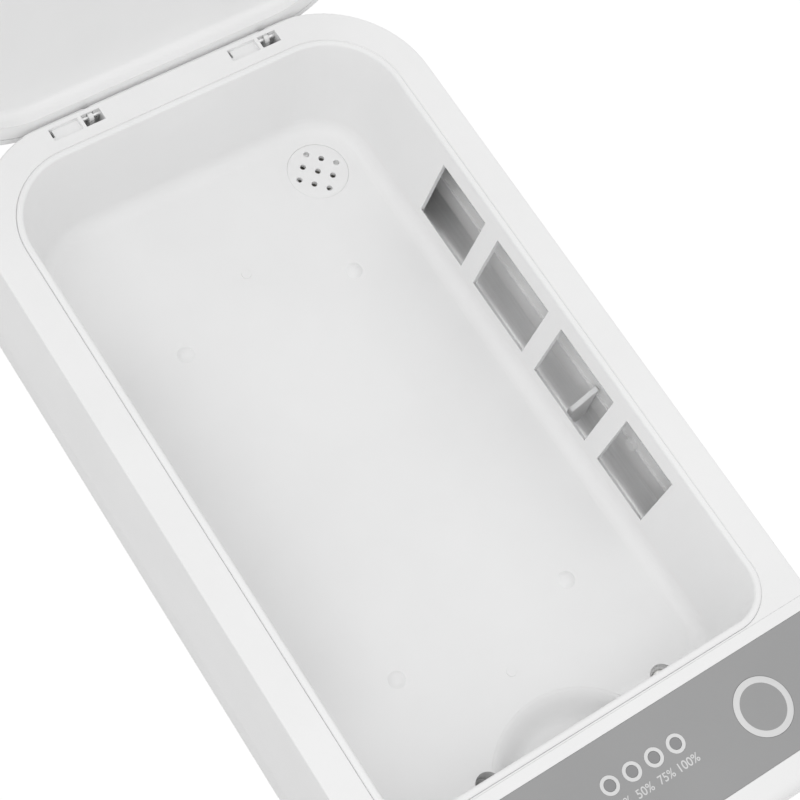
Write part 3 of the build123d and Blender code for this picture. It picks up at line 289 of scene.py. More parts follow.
def screw_metal(name, colour):
    """Plated steel: fine turned streaks and a slightly uneven sheen."""
    material, tree, shader, place = blank_material(name)
    fog = put(
        tree, "ShaderNodeTexNoise", {"Vector": place, "Scale": 900.0, "Detail": 4.0}
    )
    tone = two_tone(tree, fog.outputs[0], shade(colour, 0.85), shade(colour, 1.1))
    wire(tree, tone, shader.inputs["Base Color"])
    shader.inputs["Metallic"].default_value = 1.0
    rough = put(
        tree,
        "ShaderNodeMapRange",
        {"Value": fog.outputs[0], "To Min": 0.22, "To Max": 0.42},
    )
    wire(tree, rough.outputs[0], shader.inputs["Roughness"])
    relief = put(
        tree,
        "ShaderNodeBump",
        {"Strength": 0.2, "Distance": 0.02 * MM, "Height": fog.outputs[0]},
    )
    wire(tree, relief.outputs[0], shader.inputs["Normal"])
    return material


def moved(tree, geometry, z):
    """Lift a shape by z."""
    made = put(
        tree,
        "GeometryNodeTransform",
        {"Geometry": geometry, "Translation": height_vector(tree, z)},
    )
    return made.outputs[0]


def joined(tree, *parts):
    """Put several shapes together in one."""
    made = tree.nodes.new("GeometryNodeJoinGeometry")
    for part in parts:
        tree.links.new(part, made.inputs[0])
    return made.outputs[0]


def cut_away(tree, body, *tools):
    """Cut the tools out of a body."""
    made = put(
        tree, "GeometryNodeMeshBoolean", {"Mesh 1": body}, operation="DIFFERENCE"
    )
    for tool in tools:
        tree.links.new(tool, made.inputs["Mesh 2"])
    return made.outputs[0]


screw_tree, given, result = growing_tree("screw", SCREW_SIZES)
head = turned(
    screw_tree,
    given["Head Radius"],
    0.0,
    given["Head Height"],
    HEAD_PROFILE,
    rings=16,
    around=40,
)
slots = []
for long_axis, short_axis in (("X", "Y"), ("Y", "X")):
    size = put(
        screw_tree,
        "ShaderNodeCombineXYZ",
        {
            long_axis: times(screw_tree, given["Head Radius"], 1.15),
            short_axis: times(screw_tree, given["Head Radius"], 0.19),
            "Z": times(screw_tree, given["Head Height"], 1.2),
        },
    )
    blade = put(screw_tree, "GeometryNodeMeshCube", {"Size": size.outputs[0]})
    slots.append(moved(screw_tree, blade.outputs[0], given["Head Height"]))
head = cut_away(screw_tree, head, *slots)
tip = times(screw_tree, given["Shank Length"], -1.0)
shank = turned(
    screw_tree, given["Shank Radius"], tip, 0.0, SHANK_PROFILE, rings=20, around=24
)
helix = put(
    screw_tree,
    "GeometryNodeCurveSpiral",
    {
        "Resolution": 20,
        "Rotations": times(
            screw_tree, given["Shank Length"], given["Pitch"], "DIVIDE"
        ),
        "Start Radius": times(screw_tree, given["Shank Radius"], 0.7),
        "End Radius": times(screw_tree, given["Shank Radius"], 0.84),
        "Height": times(screw_tree, given["Shank Length"], 0.92),
    },
)
ridge = put(
    screw_tree,
    "GeometryNodeCurvePrimitiveCircle",
    {"Resolution": 4, "Radius": times(screw_tree, given["Shank Radius"], 0.15)},
)
thread = put(
    screw_tree,
    "GeometryNodeCurveToMesh",
    {"Curve": helix.outputs[0], "Profile Curve": ridge.outputs[0], "Fill Caps": True},
)
thread = moved(screw_tree, thread.outputs[0], times(screw_tree, tip, 0.98))
screw_points = put(
    screw_tree, "GeometryNodeMeshToPoints", {"Mesh": given["Geometry"]}
)
turn_vector = put(screw_tree, "ShaderNodeCombineXYZ", {"X": given["Turn"]})
screws = put(
    screw_tree,
    "GeometryNodeInstanceOnPoints",
    {
        "Points": screw_points.outputs[0],
        "Instance": joined(screw_tree, head, shank, thread),
        "Rotation": turn_vector.outputs[0],
    },
)
close_tree(screw_tree, given, result, screws.outputs[0])
SCREW_STEEL = screw_metal("screw_steel", (0.84, 0.84, 0.82))


HEAD_UP = 0.0
HEAD_DOWN = math.pi


def screw_row(name, stands_for, places, length, turn):
    """Screws of one length at the given seats, heads up or heads down."""
    sizes = {**SCREW_SIZES, "Shank Length": length * MM, "Turn": turn}
    return grow(
        name,
        screw_tree,
        sizes,
        places,
        SCREW_STEEL,
        "base",
        [stands_for],
        crease=0.45,
    )


BASE_SCREW_SEAT = 1.5
BASE_SCREW_LENGTH = 7.0
REAR_PILLAR = (46.565, 96.315)
SIDE_PILLAR = (52.95, -59.45)
FRONT_PILLAR = (50.05, -98.5)
base_screw_places = [
    (side * x, y, BASE_SCREW_SEAT)
    for x, y in (REAR_PILLAR, SIDE_PILLAR, FRONT_PILLAR)
    for side in (-1, 1)
]
screw_row(
    "screws_base", "base_screws", base_screw_places, BASE_SCREW_LENGTH, HEAD_DOWN
)


# ---- Main board -------------------------------------------------------------
# A green glass-epoxy board on four posts: it drives the two lamps, and carries a
# small wound transformer, cans, chips and nylon connectors soldered to it.
BOARD_GREEN = (0.045, 0.20, 0.10)
BOARD_TOP = 6.6
BOARD_SCREW_LENGTH = 3.6


def solder_mask(name, colour):
    """Glossy green lacquer over copper tracks."""
    material, tree, shader, place = blank_material(name)
    tracks = put(
        tree,
        "ShaderNodeTexBrick",
        {
            "Vector": place,
            "Color1": (*shade(colour, 1.25), 1.0),
            "Color2": (*shade(colour, 0.9), 1.0),
            "Mortar": (*shade(colour, 0.6), 1.0),
            "Scale": 130.0,
            "Mortar Size": 0.06,
            "Brick Width": 0.9,
            "Row Height": 0.22,
        },
    )
    wire(tree, tracks.outputs[0], shader.inputs["Base Color"])
    shader.inputs["Roughness"].default_value = 0.3
    relief = put(
        tree,
        "ShaderNodeBump",
        {"Strength": 0.3, "Distance": 0.04 * MM, "Height": tracks.outputs[1]},
    )
    wire(tree, relief.outputs[0], shader.inputs["Normal"])
    return material


green = solder_mask("solder_mask", BOARD_GREEN)
dress(["main_board", "power_board", "control_board"], green)
dress(
    ["board_chips", "tact_switches", "lid_sensor"],
    moulded("epoxy_black", (0.04, 0.04, 0.04), 0.5, 0.3),
)
ivory = moulded("nylon_ivory", (0.78, 0.74, 0.62), 0.45, 0.1)
dress(["wire_connectors"], ivory)
board_screw_places = [
    (x, y, BOARD_TOP) for x in (-30.0, 30.0) for y in (-16.0, 46.0)
]
screw_row(
    "screws_board", "board_screws", board_screw_places, BOARD_SCREW_LENGTH, HEAD_UP
)

CAN_XS = (3.9, 11.9, 19.9)
CAN_Y = 29.0
CAN_SIZES = {"Radius": 3.0 * MM, "Height": 4.8 * MM}
CAN_PROFILE = [
    (0.0, 0.93),
    (0.05, 1.0),
    (0.16, 1.0),
    (0.22, 0.92),
    (0.28, 1.0),
    (0.95, 1.0),
    (0.98, 0.96),
    (1.0, 0.88),
]
can_tree, given, result = growing_tree("can", CAN_SIZES)
can = turned(can_tree, given["Radius"], 0.0, given["Height"], CAN_PROFILE, rings=60)
close_tree(can_tree, given, result, on_points(can_tree, given, can))
grow(
    "can_row",
    can_tree,
    CAN_SIZES,
    [(x, CAN_Y, BOARD_TOP) for x in CAN_XS],
    screw_metal("can_aluminium", (0.62, 0.63, 0.65)),
    "base",
    ["capacitors"],
)

LEG_SIZES = {"Reach": 0.9 * MM, "Breadth": 0.35 * MM, "Thickness": 0.18 * MM}
LEG_PITCH = 0.9
LEG_OUT = 0.3
LEG_LIFT = 0.2
FIRST_LEG = 0.8
CHIP_END = 1.0
CHIPS = [(-15.98, 1.0, 4.5), (6.12, 3.8, 3.0), (20.06, -1.8, 2.5)]
leg_tree, given, result = growing_tree("leg", LEG_SIZES)
leg_size = put(
    leg_tree,
    "ShaderNodeCombineXYZ",
    {"X": given["Reach"], "Y": given["Breadth"], "Z": given["Thickness"]},
)
leg = put(leg_tree, "GeometryNodeMeshCube", {"Size": leg_size.outputs[0]})
close_tree(leg_tree, given, result, on_points(leg_tree, given, leg.outputs[0]))
leg_places = [
    (
        x + side * (half + LEG_OUT),
        y - half + FIRST_LEG + step * LEG_PITCH,
        BOARD_TOP + LEG_LIFT,
    )
    for x, y, half in CHIPS
    for side in (-1, 1)
    for step in range(int((2 * half - CHIP_END) / LEG_PITCH))
]
grow("chip_legs", leg_tree, LEG_SIZES, leg_places, SCREW_STEEL, "base")


def wound(name, colour, spacing):
    """Varnished wire laid turn by turn."""
    material, tree, shader, place = blank_material(name)
    turns = put(
        tree,
        "ShaderNodeTexWave",
        {"Vector": place, "Scale": spacing, "Distortion": 0.4, "Detail": 1.0},
        bands_direction="Z",
    )
    tone = two_tone(
        tree, turns.outputs[1], shade(colour, 0.45), shade(colour, 1.15), 0.1, 0.7
    )
    wire(tree, tone, shader.inputs["Base Color"])
    shader.inputs["Metallic"].default_value = 0.7
    shader.inputs["Roughness"].default_value = 0.32
    relief = put(
        tree,
        "ShaderNodeBump",
        {"Strength": 0.8, "Distance": 0.1 * MM, "Height": turns.outputs[1]},
    )
    wire(tree, relief.outputs[0], shader.inputs["Normal"])
    return material


dress(["inverter_transformer"], wound("copper_wound", (0.55, 0.30, 0.12), 500.0))


# ---- Power inlet and flat cable ---------------------------------------------
# A nickel-plated pressed shell with a plastic tongue, soldered to its own board
# at the rear wall, and a grey flat cable that joins the two boards.
dress(["usb_socket"], screw_metal("inlet_nickel", (0.66, 0.66, 0.65)))


def striped_film(name, colour, spacing):
    """Flat cable: parallel cores under a clear film."""
    material, tree, shader, place = blank_material(name)
    cores = put(
        tree,
        "ShaderNodeTexWave",
        {"Vector": place, "Scale": spacing, "Distortion": 0.0},
        bands_direction="X",
    )
    tone = two_tone(
        tree, cores.outputs[1], shade(colour, 0.6), shade(colour, 1.1), 0.2, 0.5
    )
    wire(tree, tone, shader.inputs["Base Color"])
    shader.inputs["Roughness"].default_value = 0.35
    relief = put(
        tree,
        "ShaderNodeBump",
        {"Strength": 0.6, "Distance": 0.1 * MM, "Height": cores.outputs[1]},
    )
    wire(tree, relief.outputs[0], shader.inputs["Normal"])
    return material


dress(["ribbon_cable"], striped_film("ribbon_film", (0.58, 0.57, 0.54), 160.0))


# ---- Lamp bays --------------------------------------------------------------
# Behind each row of windows stands a moulded plate that clips a clear quartz
# lamp over a rolled satin aluminium trough, with a moulded rib in its middle.
dress(
    ["lamp_bay_right", "lamp_bay_left"],
    moulded("bay_white", (0.93, 0.93, 0.93), 0.4, 0.1),
)
dress(
    ["lamp_saddle_right", "lamp_saddle_left"],
    moulded("saddle_white", (0.90, 0.90, 0.90), 0.3, 0.05, soften=0.5),
)


def satin_sheet(name, colour, roughness):
    """Rolled aluminium sheet, with grain drawn along the trough."""
    material, tree, shader, place = blank_material(name)
    drawn = put(
        tree, "ShaderNodeMapping", {"Vector": place, "Scale": (1.0, 0.03, 1.0)}
    )
    grain = put(
        tree,
        "ShaderNodeTexNoise",
        {"Vector": drawn.outputs[0], "Scale": 1800.0, "Detail": 3.0},
    )
    tone = two_tone(tree, grain.outputs[0], shade(colour, 0.97), shade(colour, 1.02))
    wire(tree, tone, shader.inputs["Base Color"])
    shader.inputs["Metallic"].default_value = 1.0
    shader.inputs["Roughness"].default_value = roughness
    relief = put(
        tree,
        "ShaderNodeBump",
        {"Strength": 0.04, "Distance": 0.02 * MM, "Height": grain.outputs[0]},
    )
    wire(tree, relief.outputs[0], shader.inputs["Normal"])
    return material


dress(
    ["reflector_right", "reflector_left"],
    satin_sheet("satin_aluminium", (0.97, 0.97, 0.97), 0.45),
)
LAMP_SIZES = {
    "Outer Radius": 1.9 * MM,
    "Inner Radius": 1.4 * MM,
    "Length": 112.0 * MM,
}
LAMP_X = 52.3
LAMP_Z = 34.2
LAMP_FRONT = -46.0
LAMP_REAR = 66.0
TUBE_RINGS = 150
TUBE_AROUND = 40
TUBE_PROFILE = [
    (0.0, 0.45),
    (0.006, 0.8),
    (0.014, 1.0),
    (0.986, 1.0),
    (0.994, 0.8),
    (1.0, 0.45),
]


def clear_quartz(name, tint):
    """Clear quartz, hardly tinted, with a faint haze."""
    material, tree, shader, place = blank_material(name)
    haze = put(
        tree, "ShaderNodeTexNoise", {"Vector": place, "Scale": 120.0, "Detail": 2.0}
    )
    tone = two_tone(tree, haze.outputs[0], shade(tint, 0.97), tint)
    wire(tree, tone, shader.inputs["Base Color"])
    shader.inputs["Roughness"].default_value = 0.03
    shader.inputs["IOR"].default_value = 1.46
    shader.inputs["Transmission Weight"].default_value = 1.0
    return material


def laid_back(tree, geometry):
    """Turn a part that stands along Z so that it lies along Y."""
    made = put(
        tree,
        "GeometryNodeTransform",
        {"Geometry": geometry, "Rotation": (-math.pi / 2, 0.0, 0.0)},
    )
    return made.outputs[0]


lamp_tree, given, result = growing_tree("lamp", LAMP_SIZES)
outer_glass = turned(
    lamp_tree,
    given["Outer Radius"],
    0.0,
    given["Length"],
    TUBE_PROFILE,
    rings=TUBE_RINGS,
    around=TUBE_AROUND,
)
inner_glass = turned(
    lamp_tree,
    given["Inner Radius"],
    times(lamp_tree, given["Length"], 0.015),
    times(lamp_tree, given["Length"], 0.985),
    TUBE_PROFILE,
    rings=TUBE_RINGS,
    around=TUBE_AROUND,
)
inner_glass = put(lamp_tree, "GeometryNodeFlipFaces", {"Mesh": inner_glass})
tube = laid_back(lamp_tree, joined(lamp_tree, outer_glass, inner_glass.outputs[0]))
close_tree(lamp_tree, given, result, on_points(lamp_tree, given, tube))
quartz = clear_quartz("clear_quartz", (0.94, 0.96, 0.99))
for side_name, side in (("right", 1), ("left", -1)):
    grow(
        "lamp_tube_" + side_name,
        lamp_tree,
        LAMP_SIZES,
        [(side * LAMP_X, LAMP_FRONT, LAMP_Z)],
        quartz,
        "base",
        ["lamp_" + side_name],
    )


def rubber(name, colour, roughness=0.7):
    """Moulded rubber or silicone, dull, with a dusty bloom."""
    material, tree, shader, place = blank_material(name)
    bloom = put(
        tree, "ShaderNodeTexNoise", {"Vector": place, "Scale": 300.0, "Detail": 5.0}
    )
    tone = two_tone(tree, bloom.outputs[0], shade(colour, 0.92), shade(colour, 1.06))
    wire(tree, tone, shader.inputs["Base Color"])
    shader.inputs["Roughness"].default_value = roughness
    relief = put(
        tree,
        "ShaderNodeBump",
        {"Strength": 0.25, "Distance": 0.05 * MM, "Height": bloom.outputs[0]},
    )
    wire(tree, relief.outputs[0], shader.inputs["Normal"])
    return material


dress(["lamp_caps_right", "lamp_caps_left"], rubber("cap_silicone", (0.70, 0.70, 0.69)))

ELECTRODE_IN = 6.5
ELECTRODE_SIZES = {"Cup Radius": 0.9 * MM, "Cup Length": 5.0 * MM}
CUP_PROFILE = [
    (0.0, 0.25),
    (0.3, 0.25),
    (0.32, 0.9),
    (0.36, 1.0),
    (0.94, 1.0),
    (1.0, 0.85),
]
electrode_tree, given, result = growing_tree("electrode", ELECTRODE_SIZES)
electrode = turned(
    electrode_tree,
    given["Cup Radius"],
    times(electrode_tree, given["Cup Length"], -0.5),
    times(electrode_tree, given["Cup Length"], 0.5),
    CUP_PROFILE,
    rings=60,
    around=24,
)
electrode = laid_back(electrode_tree, electrode)
close_tree(
    electrode_tree, given, result, on_points(electrode_tree, given, electrode)
)
electrode_places = [
    (side * LAMP_X, y, LAMP_Z)
    for side in (-1, 1)
    for y in (LAMP_FRONT + ELECTRODE_IN, LAMP_REAR - ELECTRODE_IN)
]
grow(
    "lamp_electrodes",
    electrode_tree,
    ELECTRODE_SIZES,
    electrode_places,
    screw_metal("electrode_nickel", (0.45, 0.45, 0.44)),
    "base",
)


# ---- Tray -------------------------------------------------------------------
# One deep white moulding that drops into the housing: a rounded bead lies on the
# rim, and the floor has low domes, a finger scoop and two sunk screw holes.
TRAY_WHITE = (0.88, 0.88, 0.88)
dress(
    ["tray"],
    moulded("tray_white", TRAY_WHITE, roughness=0.45, grain=0.07, soften=0.1),
)
TRAY_FLOOR = 14.1
DEEP_SEAT = 6.5
SHALLOW_SEAT = 1.9
TRAY_SCREW_LENGTH = 4.0
tray_screw_places = [
    (-19.2, -69.9, TRAY_FLOOR - DEEP_SEAT),
    (29.9, -69.9, TRAY_FLOOR - SHALLOW_SEAT),
]
screw_row(
    "screws_tray", "tray_screws", tray_screw_places, TRAY_SCREW_LENGTH, HEAD_UP
)


# ---- Aroma well -------------------------------------------------------------
# A round lid with nine holes drops into the floor over a small cup, where a felt
# pad takes the scented oil and a foil disc under the cup warms it.
AROMA_X = 30.9
AROMA_Y = 80.9
CAP_DEPTH = 1.2
DISC_AROUND = 96
SKIRT_RINGS = 3
SKIRT_AROUND = 64
STRAIGHT = [(0.0, 1.0), (1.0, 1.0)]
CAP_SIZES = {
    "Cap Radius": 7.79 * MM,
    "Cap Thickness": CAP_DEPTH * MM,
    "Skirt Radius": 6.2 * MM,
    "Skirt Depth": 1.2 * MM,
    "Hole Radius": 0.75 * MM,
    "Pitch": 3.87 * MM,
}


def spun(tree, geometry, angle):
    """Turn a piece about the upright axis, so its seams miss the drill holes."""
    return put(
        tree,
        "GeometryNodeTransform",
        {"Geometry": geometry, "Rotation": (0.0, 0.0, angle)},
    ).outputs[0]


cap_tree, given, result = growing_tree("perforated_cap", CAP_SIZES)
plate = turned(
    cap_tree,
    given["Cap Radius"],
    0.0,
    given["Cap Thickness"],
    [(0.0, 1.0), (0.86, 1.0), (0.95, 0.99), (1.0, 0.968)],
    rings=24,
    around=DISC_AROUND,
)
drill = put(
    cap_tree,
    "GeometryNodeMeshCylinder",
    {
        "Vertices": 32,
        "Radius": given["Hole Radius"],
        "Depth": times(cap_tree, given["Cap Thickness"], 3.0),
    },
)
rows = put(
    cap_tree,
    "GeometryNodeMeshGrid",
    {
        "Size X": times(cap_tree, given["Pitch"], 2.0),
        "Size Y": times(cap_tree, given["Pitch"], 2.0),
        "Vertices X": 3,
        "Vertices Y": 3,
    },
)
diamond = put(
    cap_tree,
    "GeometryNodeTransform",
    {"Geometry": rows.outputs[0], "Rotation": (0.0, 0.0, math.pi / 4)},
)
drills = put(
    cap_tree,
    "GeometryNodeInstanceOnPoints",
    {"Points": diamond.outputs[0], "Instance": drill.outputs[0]},
)
plate = spun(cap_tree, plate, math.pi / DISC_AROUND)
plate = cut_away(cap_tree, plate, drills.outputs[0])
skirt_low = times(cap_tree, given["Skirt Depth"], -1.0)
skirt = turned(
    cap_tree,
    given["Skirt Radius"],
    skirt_low,
    0.0,
    STRAIGHT,
    rings=SKIRT_RINGS,
    around=SKIRT_AROUND,
)
skirt_bore = turned(
    cap_tree,
    times(cap_tree, given["Skirt Radius"], 0.87),
    times(cap_tree, skirt_low, 1.5),
    given["Cap Thickness"],
    STRAIGHT,
    rings=SKIRT_RINGS,
    around=SKIRT_AROUND,
)
skirt = cut_away(cap_tree, skirt, skirt_bore)
skirt = spun(cap_tree, skirt, math.pi / SKIRT_AROUND)
skirt = cut_away(cap_tree, skirt, drills.outputs[0])
cap = joined(cap_tree, plate, skirt)
close_tree(cap_tree, given, result, on_points(cap_tree, given, cap))
grow(
    "aroma_cap_drilled",
    cap_tree,
    CAP_SIZES,
    [(AROMA_X, AROMA_Y, TRAY_FLOOR - CAP_DEPTH)],
    moulded("aroma_white", TRAY_WHITE, roughness=0.42, grain=0.06, soften=0.08),
    "aroma_cover",
    ["aroma_cap"],
    crease=0.5,
)
dress(["aroma_cup"], moulded("cup_plastic", (0.76, 0.76, 0.76), 0.25, 0.02))
dress(["aroma_heater"], satin_sheet("heater_foil", (0.58, 0.56, 0.52), 0.3))

PAD_RADIUS = 5.4 * MM
PAD_LOW = 6.8 * MM
PAD_HIGH = 10.0 * MM
PAD_AROUND = 72
PAD_WOBBLE = 0.012


def pressed_felt(name, colour):
    """Pressed wool felt with loose fibres."""
    material, tree, shader, place = blank_material(name)
    fibre = put(
        tree,
        "ShaderNodeTexNoise",
        {"Vector": place, "Scale": 1500.0, "Detail": 6.0, "Distortion": 2.0},
    )
    tone = two_tone(tree, fibre.outputs[0], shade(colour, 0.82), shade(colour, 1.08))
    wire(tree, tone, shader.inputs["Base Color"])
    shader.inputs["Roughness"].default_value = 0.9
    shader.inputs["Sheen Weight"].default_value = 0.4
    relief = put(
        tree,
        "ShaderNodeBump",
        {"Strength": 0.8, "Distance": 0.15 * MM, "Height": fibre.outputs[0]},
    )
    wire(tree, relief.outputs[0], shader.inputs["Normal"])
    return material


def felt_disc(name, centre, radius, low, high):
    """A crowned disc whose edge is rolled and slightly uneven."""
    rings = [
        (0.55, 0.0),
        (0.9, 0.03),
        (0.98, 0.2),
        (1.0, 0.5),
        (0.97, 0.8),
        (0.88, 0.95),
        (0.5, 1.0),
    ]
    around = PAD_AROUND
    verts, faces = [], []
    for share, rise in rings:
        for step in range(around):
            angle = 2 * math.pi * step / around
            wave = math.sin(5 * angle) * math.sin(3 * angle + 1)
            reach = radius * share * (1 - PAD_WOBBLE * (1 + wave))
            z = low + (high - low) * rise
            verts.append(
                (
                    centre[0] + reach * math.cos(angle),
                    centre[1] + reach * math.sin(angle),
                    z,
                )
            )
    bottom, top = len(verts), len(verts) + 1
    verts += [(centre[0], centre[1], low), (centre[0], centre[1], high)]
    for ring in range(len(rings) - 1):
        for step in range(around):
            after = (step + 1) % around
            a, b = ring * around + step, ring * around + after
            faces.append((a, b, b + around, a + around))
    last = (len(rings) - 1) * around
    for step in range(around):
        after = (step + 1) % around
        faces.append((bottom, after, step))
        faces.append((top, last + step, last + after))
    mesh = bpy.data.meshes.new(name)
    mesh.from_pydata(verts, [], faces)
    mesh.shade_smooth()
    piece = bpy.data.objects.new(name, mesh)
    bpy.context.scene.collection.objects.link(piece)
    return piece


pad = felt_disc(
    "aroma_felt", (AROMA_X * MM, AROMA_Y * MM), PAD_RADIUS, PAD_LOW, PAD_HIGH
)
pad.data.materials.append(pressed_felt("felt", (0.80, 0.78, 0.70)))
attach(pad, "base")
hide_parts("aroma_pad")


# ---- Housing ----------------------------------------------------------------
# The upper body behind the seam: white moulded walls and a flat rim round the
# tray, with two small hinge pockets cut in its rear edge.
SHELL_WHITE = (0.88, 0.88, 0.88)
shell_white = moulded(
    "shell_white", SHELL_WHITE, roughness=0.42, grain=0.08, soften=0.1
)
dress(["housing"], shell_white)


# ---- Front cover ------------------------------------------------------------
# A separate front moulding in the same plastic. Its deck is sunk for the panel
# sheet, and its front edge is rolled over the wall.
dress(["front_cover"], shell_white)
CONTROL_Z = 35.2
CONTROL_SCREW_LENGTH = 4.4
control_places = [(x, y, CONTROL_Z) for x in (-42.5, 42.5) for y in (-99.0, -80.5)]
screw_row(
    "screws_control",
    "control_board_screws",
    control_places,
    CONTROL_SCREW_LENGTH,
    HEAD_DOWN,
)


# ---- Control panel ----------------------------------------------------------
# A screen-printed grey sheet stuck into the deck. Two round keys come up through
# it, and four frosted light guides show how far the cleaning has run.
PANEL_GREY = (0.335, 0.335, 0.337)
RING_GREY = (0.72, 0.72, 0.72)
LENS_GREY = (0.27, 0.27, 0.275)
INK_GREY = (0.66, 0.66, 0.66)
for covered, grey in (
    (["panel_overlay"], "panel_grey"),
    (["sterilize_key", "aroma_key"], "key_grey"),
):
    dress(covered, moulded(grey, PANEL_GREY, 0.5, 0.14, mottle=0.02, soften=0.1))
dress(["status_leds"], moulded("led_resin", (0.85, 0.82, 0.60), 0.3, 0.05))

RING_SIZES = {
    "Outer Radius": 2.2 * MM,
    "Inner Radius": 1.37 * MM,
    "Thickness": 0.42 * MM,
}
ring_tree, given, result = growing_tree("printed_ring", RING_SIZES)
disc = turned(
    ring_tree,
    given["Outer Radius"],
    0.0,
    given["Thickness"],
    [(0.0, 1.0), (0.9, 1.0), (1.0, 0.99)],
    rings=12,
    around=DISC_AROUND,
)
core = turned(
    ring_tree,
    given["Inner Radius"],
    times(ring_tree, given["Thickness"], -1.0),
    times(ring_tree, given["Thickness"], 2.0),
    STRAIGHT,
    rings=3,
    around=DISC_AROUND,
)
ring = cut_away(ring_tree, disc, core)
close_tree(ring_tree, given, result, on_points(ring_tree, given, ring))
ring_white = moulded("ring_white", RING_GREY, 0.45, 0.08, mottle=0.03, soften=0.1)
LED_XS = [-6.25, -0.4, 5.45, 11.3]
LED_Y = -86.25
RING_LOW = 42.6
grow(
    "progress_rings",
    ring_tree,
    RING_SIZES,
    [(x, LED_Y, RING_LOW) for x in LED_XS],
    ring_white,
    "base",
    ["led_rings"],
)
KEY_RING = {"Outer Radius": 6.78 * MM, "Inner Radius": 5.3 * MM, "Thickness": 0.4 * MM}
KEY_X = 32.9
KEY_Y = -89.65
KEY_RING_LOW = 42.62
for key_name, key_side in (("sterilize", -1), ("aroma", 1)):
    grow(
        key_name + "_ring",
        ring_tree,
        KEY_RING,
        [(key_side * KEY_X, KEY_Y, KEY_RING_LOW)],
        ring_white,
        key_name + "_button",
    )

GUIDE_SIZES = {"Radius": 1.35 * MM, "Low": 37.7 * MM, "High": 43.0 * MM}
GUIDE_PROFILE = [
    (0.0, 0.6),
    (0.5, 0.62),
    (0.508, 1.0),
    (0.62, 1.0),
    (0.628, 0.69),
    (0.985, 0.69),
    (1.0, 0.66),
]
guide_tree, given, result = growing_tree("light_guide", GUIDE_SIZES)
guide = turned(
    guide_tree,
    times(guide_tree, given["Radius"], 1.44),
    given["Low"],
    given["High"],
    GUIDE_PROFILE,
    rings=130,
)
close_tree(guide_tree, given, result, on_points(guide_tree, given, guide))
grow(
    "light_guides",
    guide_tree,
    GUIDE_SIZES,
    [(x, LED_Y, 0.0) for x in LED_XS],
    moulded("frosted_lens", LENS_GREY, 0.35, 0.05, soften=0.1),
    "base",
    ["light_pipes"],
)

RIM = 43.0 * MM
INK_DEPTH = 0.03 * MM
LABEL_Y = -90.9 * MM
LABEL_HEIGHT = 2.0 * MM
LABELS = [
    ("25%", -6.1, 4.3),
    ("50%", -0.3, 4.3),
    ("75%", 5.4, 4.1),
    ("100%", 11.4, 5.3),
]


def printed_number(name, words, x, y, width, height, material):
    """Condensed printed figures, a hair above the sheet."""
    lettering = bpy.data.curves.new(name, "FONT")
    lettering.body = words
    lettering.extrude = 0.5
    lettering.offset = 0.012
    lettering.resolution_u = 6
    holder = bpy.data.objects.new(name + "_outline", lettering)
    bpy.context.scene.collection.objects.link(holder)
    graph = bpy.context.evaluated_depsgraph_get()
    mesh = bpy.data.meshes.new_from_object(holder.evaluated_get(graph))
    bpy.data.objects.remove(holder)
    spots = [v.co for v in mesh.vertices]
    low = Vector(min(c[i] for c in spots) for i in range(3))
    high = Vector(max(c[i] for c in spots) for i in range(3))
    size = high - low
    for v in mesh.vertices:
        v.co = Vector(
            (
                x + ((v.co.x - low.x) / size.x - 0.5) * width,
                y + ((v.co.y - low.y) / size.y - 0.5) * height,
                RIM + ((v.co.z - low.z) / size.z - 0.5) * INK_DEPTH,
            )
        )
    mesh.materials.append(material)
    piece = bpy.data.objects.new(name, mesh)
    bpy.context.scene.collection.objects.link(piece)
    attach(piece, "base")


ink = moulded("printed_ink", INK_GREY, 0.5, 0.1, mottle=0.05, soften=0.05)
for words, x, width in LABELS:
    printed_number(
        "step_" + words.strip("%"),
        words,
        x * MM,
        LABEL_Y,
        width * MM,
        LABEL_HEIGHT,
        ink,
    )


# ---- Hinges -----------------------------------------------------------------
# Two short steel pins lie in grooves under the rear rim, held up by moulded
# brackets; the lid's white arms reach in through slots and turn on them.
dress(
    ["hinge_bracket_left", "hinge_bracket_right"],
    moulded("bracket_white", (0.88, 0.88, 0.88), 0.45, 0.1),
)
dress(["hinge_pins"], screw_metal("pin_steel", (0.86, 0.86, 0.86)))
dress(
    ["hinge_arm_left", "hinge_arm_right"],
    moulded("arm_white", SHELL_WHITE, 0.42, 0.08),
)


# ---- Lid --------------------------------------------------------------------
# A shallow white shell with an inner liner: the liner's wide land meets the rim
# and its recessed middle clears the phone. A magnet sits in the right land.
LID_WHITE = (0.88, 0.88, 0.88)
dress(["lid_shell"], moulded("lid_white", LID_WHITE, roughness=0.4, grain=0.06))
dress(["lid_liner"], moulded("liner_white", LID_WHITE, roughness=0.42, grain=0.06))
dress(["lid_magnet"], screw_metal("magnet_nickel", (0.6, 0.6, 0.6)))
dress(["lid_pads"], rubber("pad_clear", (0.76, 0.76, 0.75), 0.4))


# ---- Floor and light --------------------------------------------------------
# A plain white floor under an even white dome, and one broad soft lamp on the
# upper left that shades the walls apart.
WORLD_LEVEL = 0.865
KEY_POWER = 3.4
KEY_SPREAD = 1.2
KEY_PLACE = Vector((-0.6, -0.25, 1.4))
KEY_TARGET = Vector((0.0, 0.0, 0.03))
FLOOR_HALF = 3.0
FLOOR_GLOW = 0.94
GLOW_STRENGTH = 1.05
FLOOR_GREY = (0.58, 0.58, 0.58, 1.0)


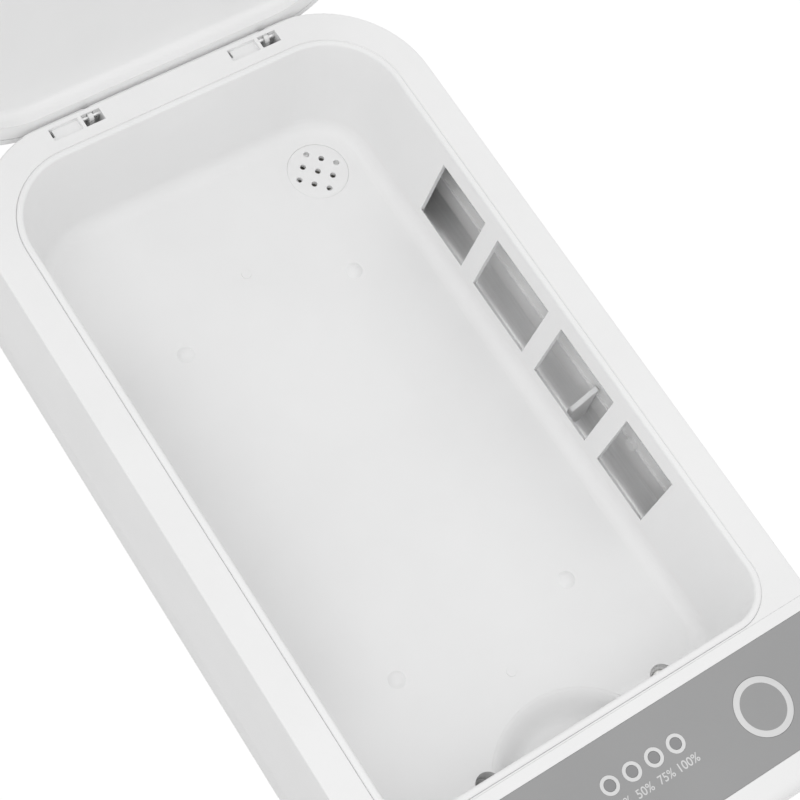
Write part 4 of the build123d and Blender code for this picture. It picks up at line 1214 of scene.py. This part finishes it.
def straight_rays(tree):
    """1 for rays from the camera, straight or by way of a mirror or a glass."""
    seen = tree.nodes.new("ShaderNodeLightPath").outputs
    direct = times(tree, seen["Is Camera Ray"], seen["Is Glossy Ray"], "MAXIMUM")
    return times(tree, direct, seen["Is Transmission Ray"], "MAXIMUM")


world = bpy.data.worlds.new("dome")
bpy.context.scene.world = world
world.use_nodes = True
sky = world.node_tree
sky.nodes.clear()
level = put(
    sky,
    "ShaderNodeMapRange",
    {"Value": straight_rays(sky), "To Min": WORLD_LEVEL, "To Max": 1.0},
)
dome = put(
    sky,
    "ShaderNodeBackground",
    {"Color": (1.0, 1.0, 1.0, 1.0), "Strength": level.outputs[0]},
)
put(sky, "ShaderNodeOutputWorld", {"Surface": dome.outputs[0]})

key_data = bpy.data.lights.new("key", "AREA")
key_data.energy = KEY_POWER
key_data.size = KEY_SPREAD
key = bpy.data.objects.new("key", key_data)
aim = (KEY_TARGET - KEY_PLACE).to_track_quat("-Z", "Y")
key.matrix_world = Matrix.Translation(KEY_PLACE) @ aim.to_matrix().to_4x4()
bpy.context.scene.collection.objects.link(key)

floor_mesh = bpy.data.meshes.new("floor")
corners = [(-1, -1), (1, -1), (1, 1), (-1, 1)]
floor_mesh.from_pydata(
    [(x * FLOOR_HALF, y * FLOOR_HALF, 0.0) for x, y in corners], [], [(0, 1, 2, 3)]
)
floor_paint, paint_tree, floor_shader, _ = blank_material("floor_white")
floor_shader.inputs["Base Color"].default_value = FLOOR_GREY
floor_shader.inputs["Roughness"].default_value = 0.9
floor_shader.inputs["Specular IOR Level"].default_value = 0.0
glow = put(paint_tree, "ShaderNodeEmission", {"Strength": GLOW_STRENGTH})
both = put(
    paint_tree,
    "ShaderNodeMixShader",
    {
        0: times(paint_tree, straight_rays(paint_tree), FLOOR_GLOW),
        1: floor_shader.outputs[0],
        2: glow.outputs[0],
    },
)
for maker in paint_tree.nodes:
    if maker.type == "OUTPUT_MATERIAL":
        paint_tree.links.new(both.outputs[0], maker.inputs[0])
floor_mesh.materials.append(floor_paint)
floor = bpy.data.objects.new("floor", floor_mesh)
bpy.context.scene.collection.objects.link(floor)
bpy.context.scene.view_settings.view_transform = "Standard"
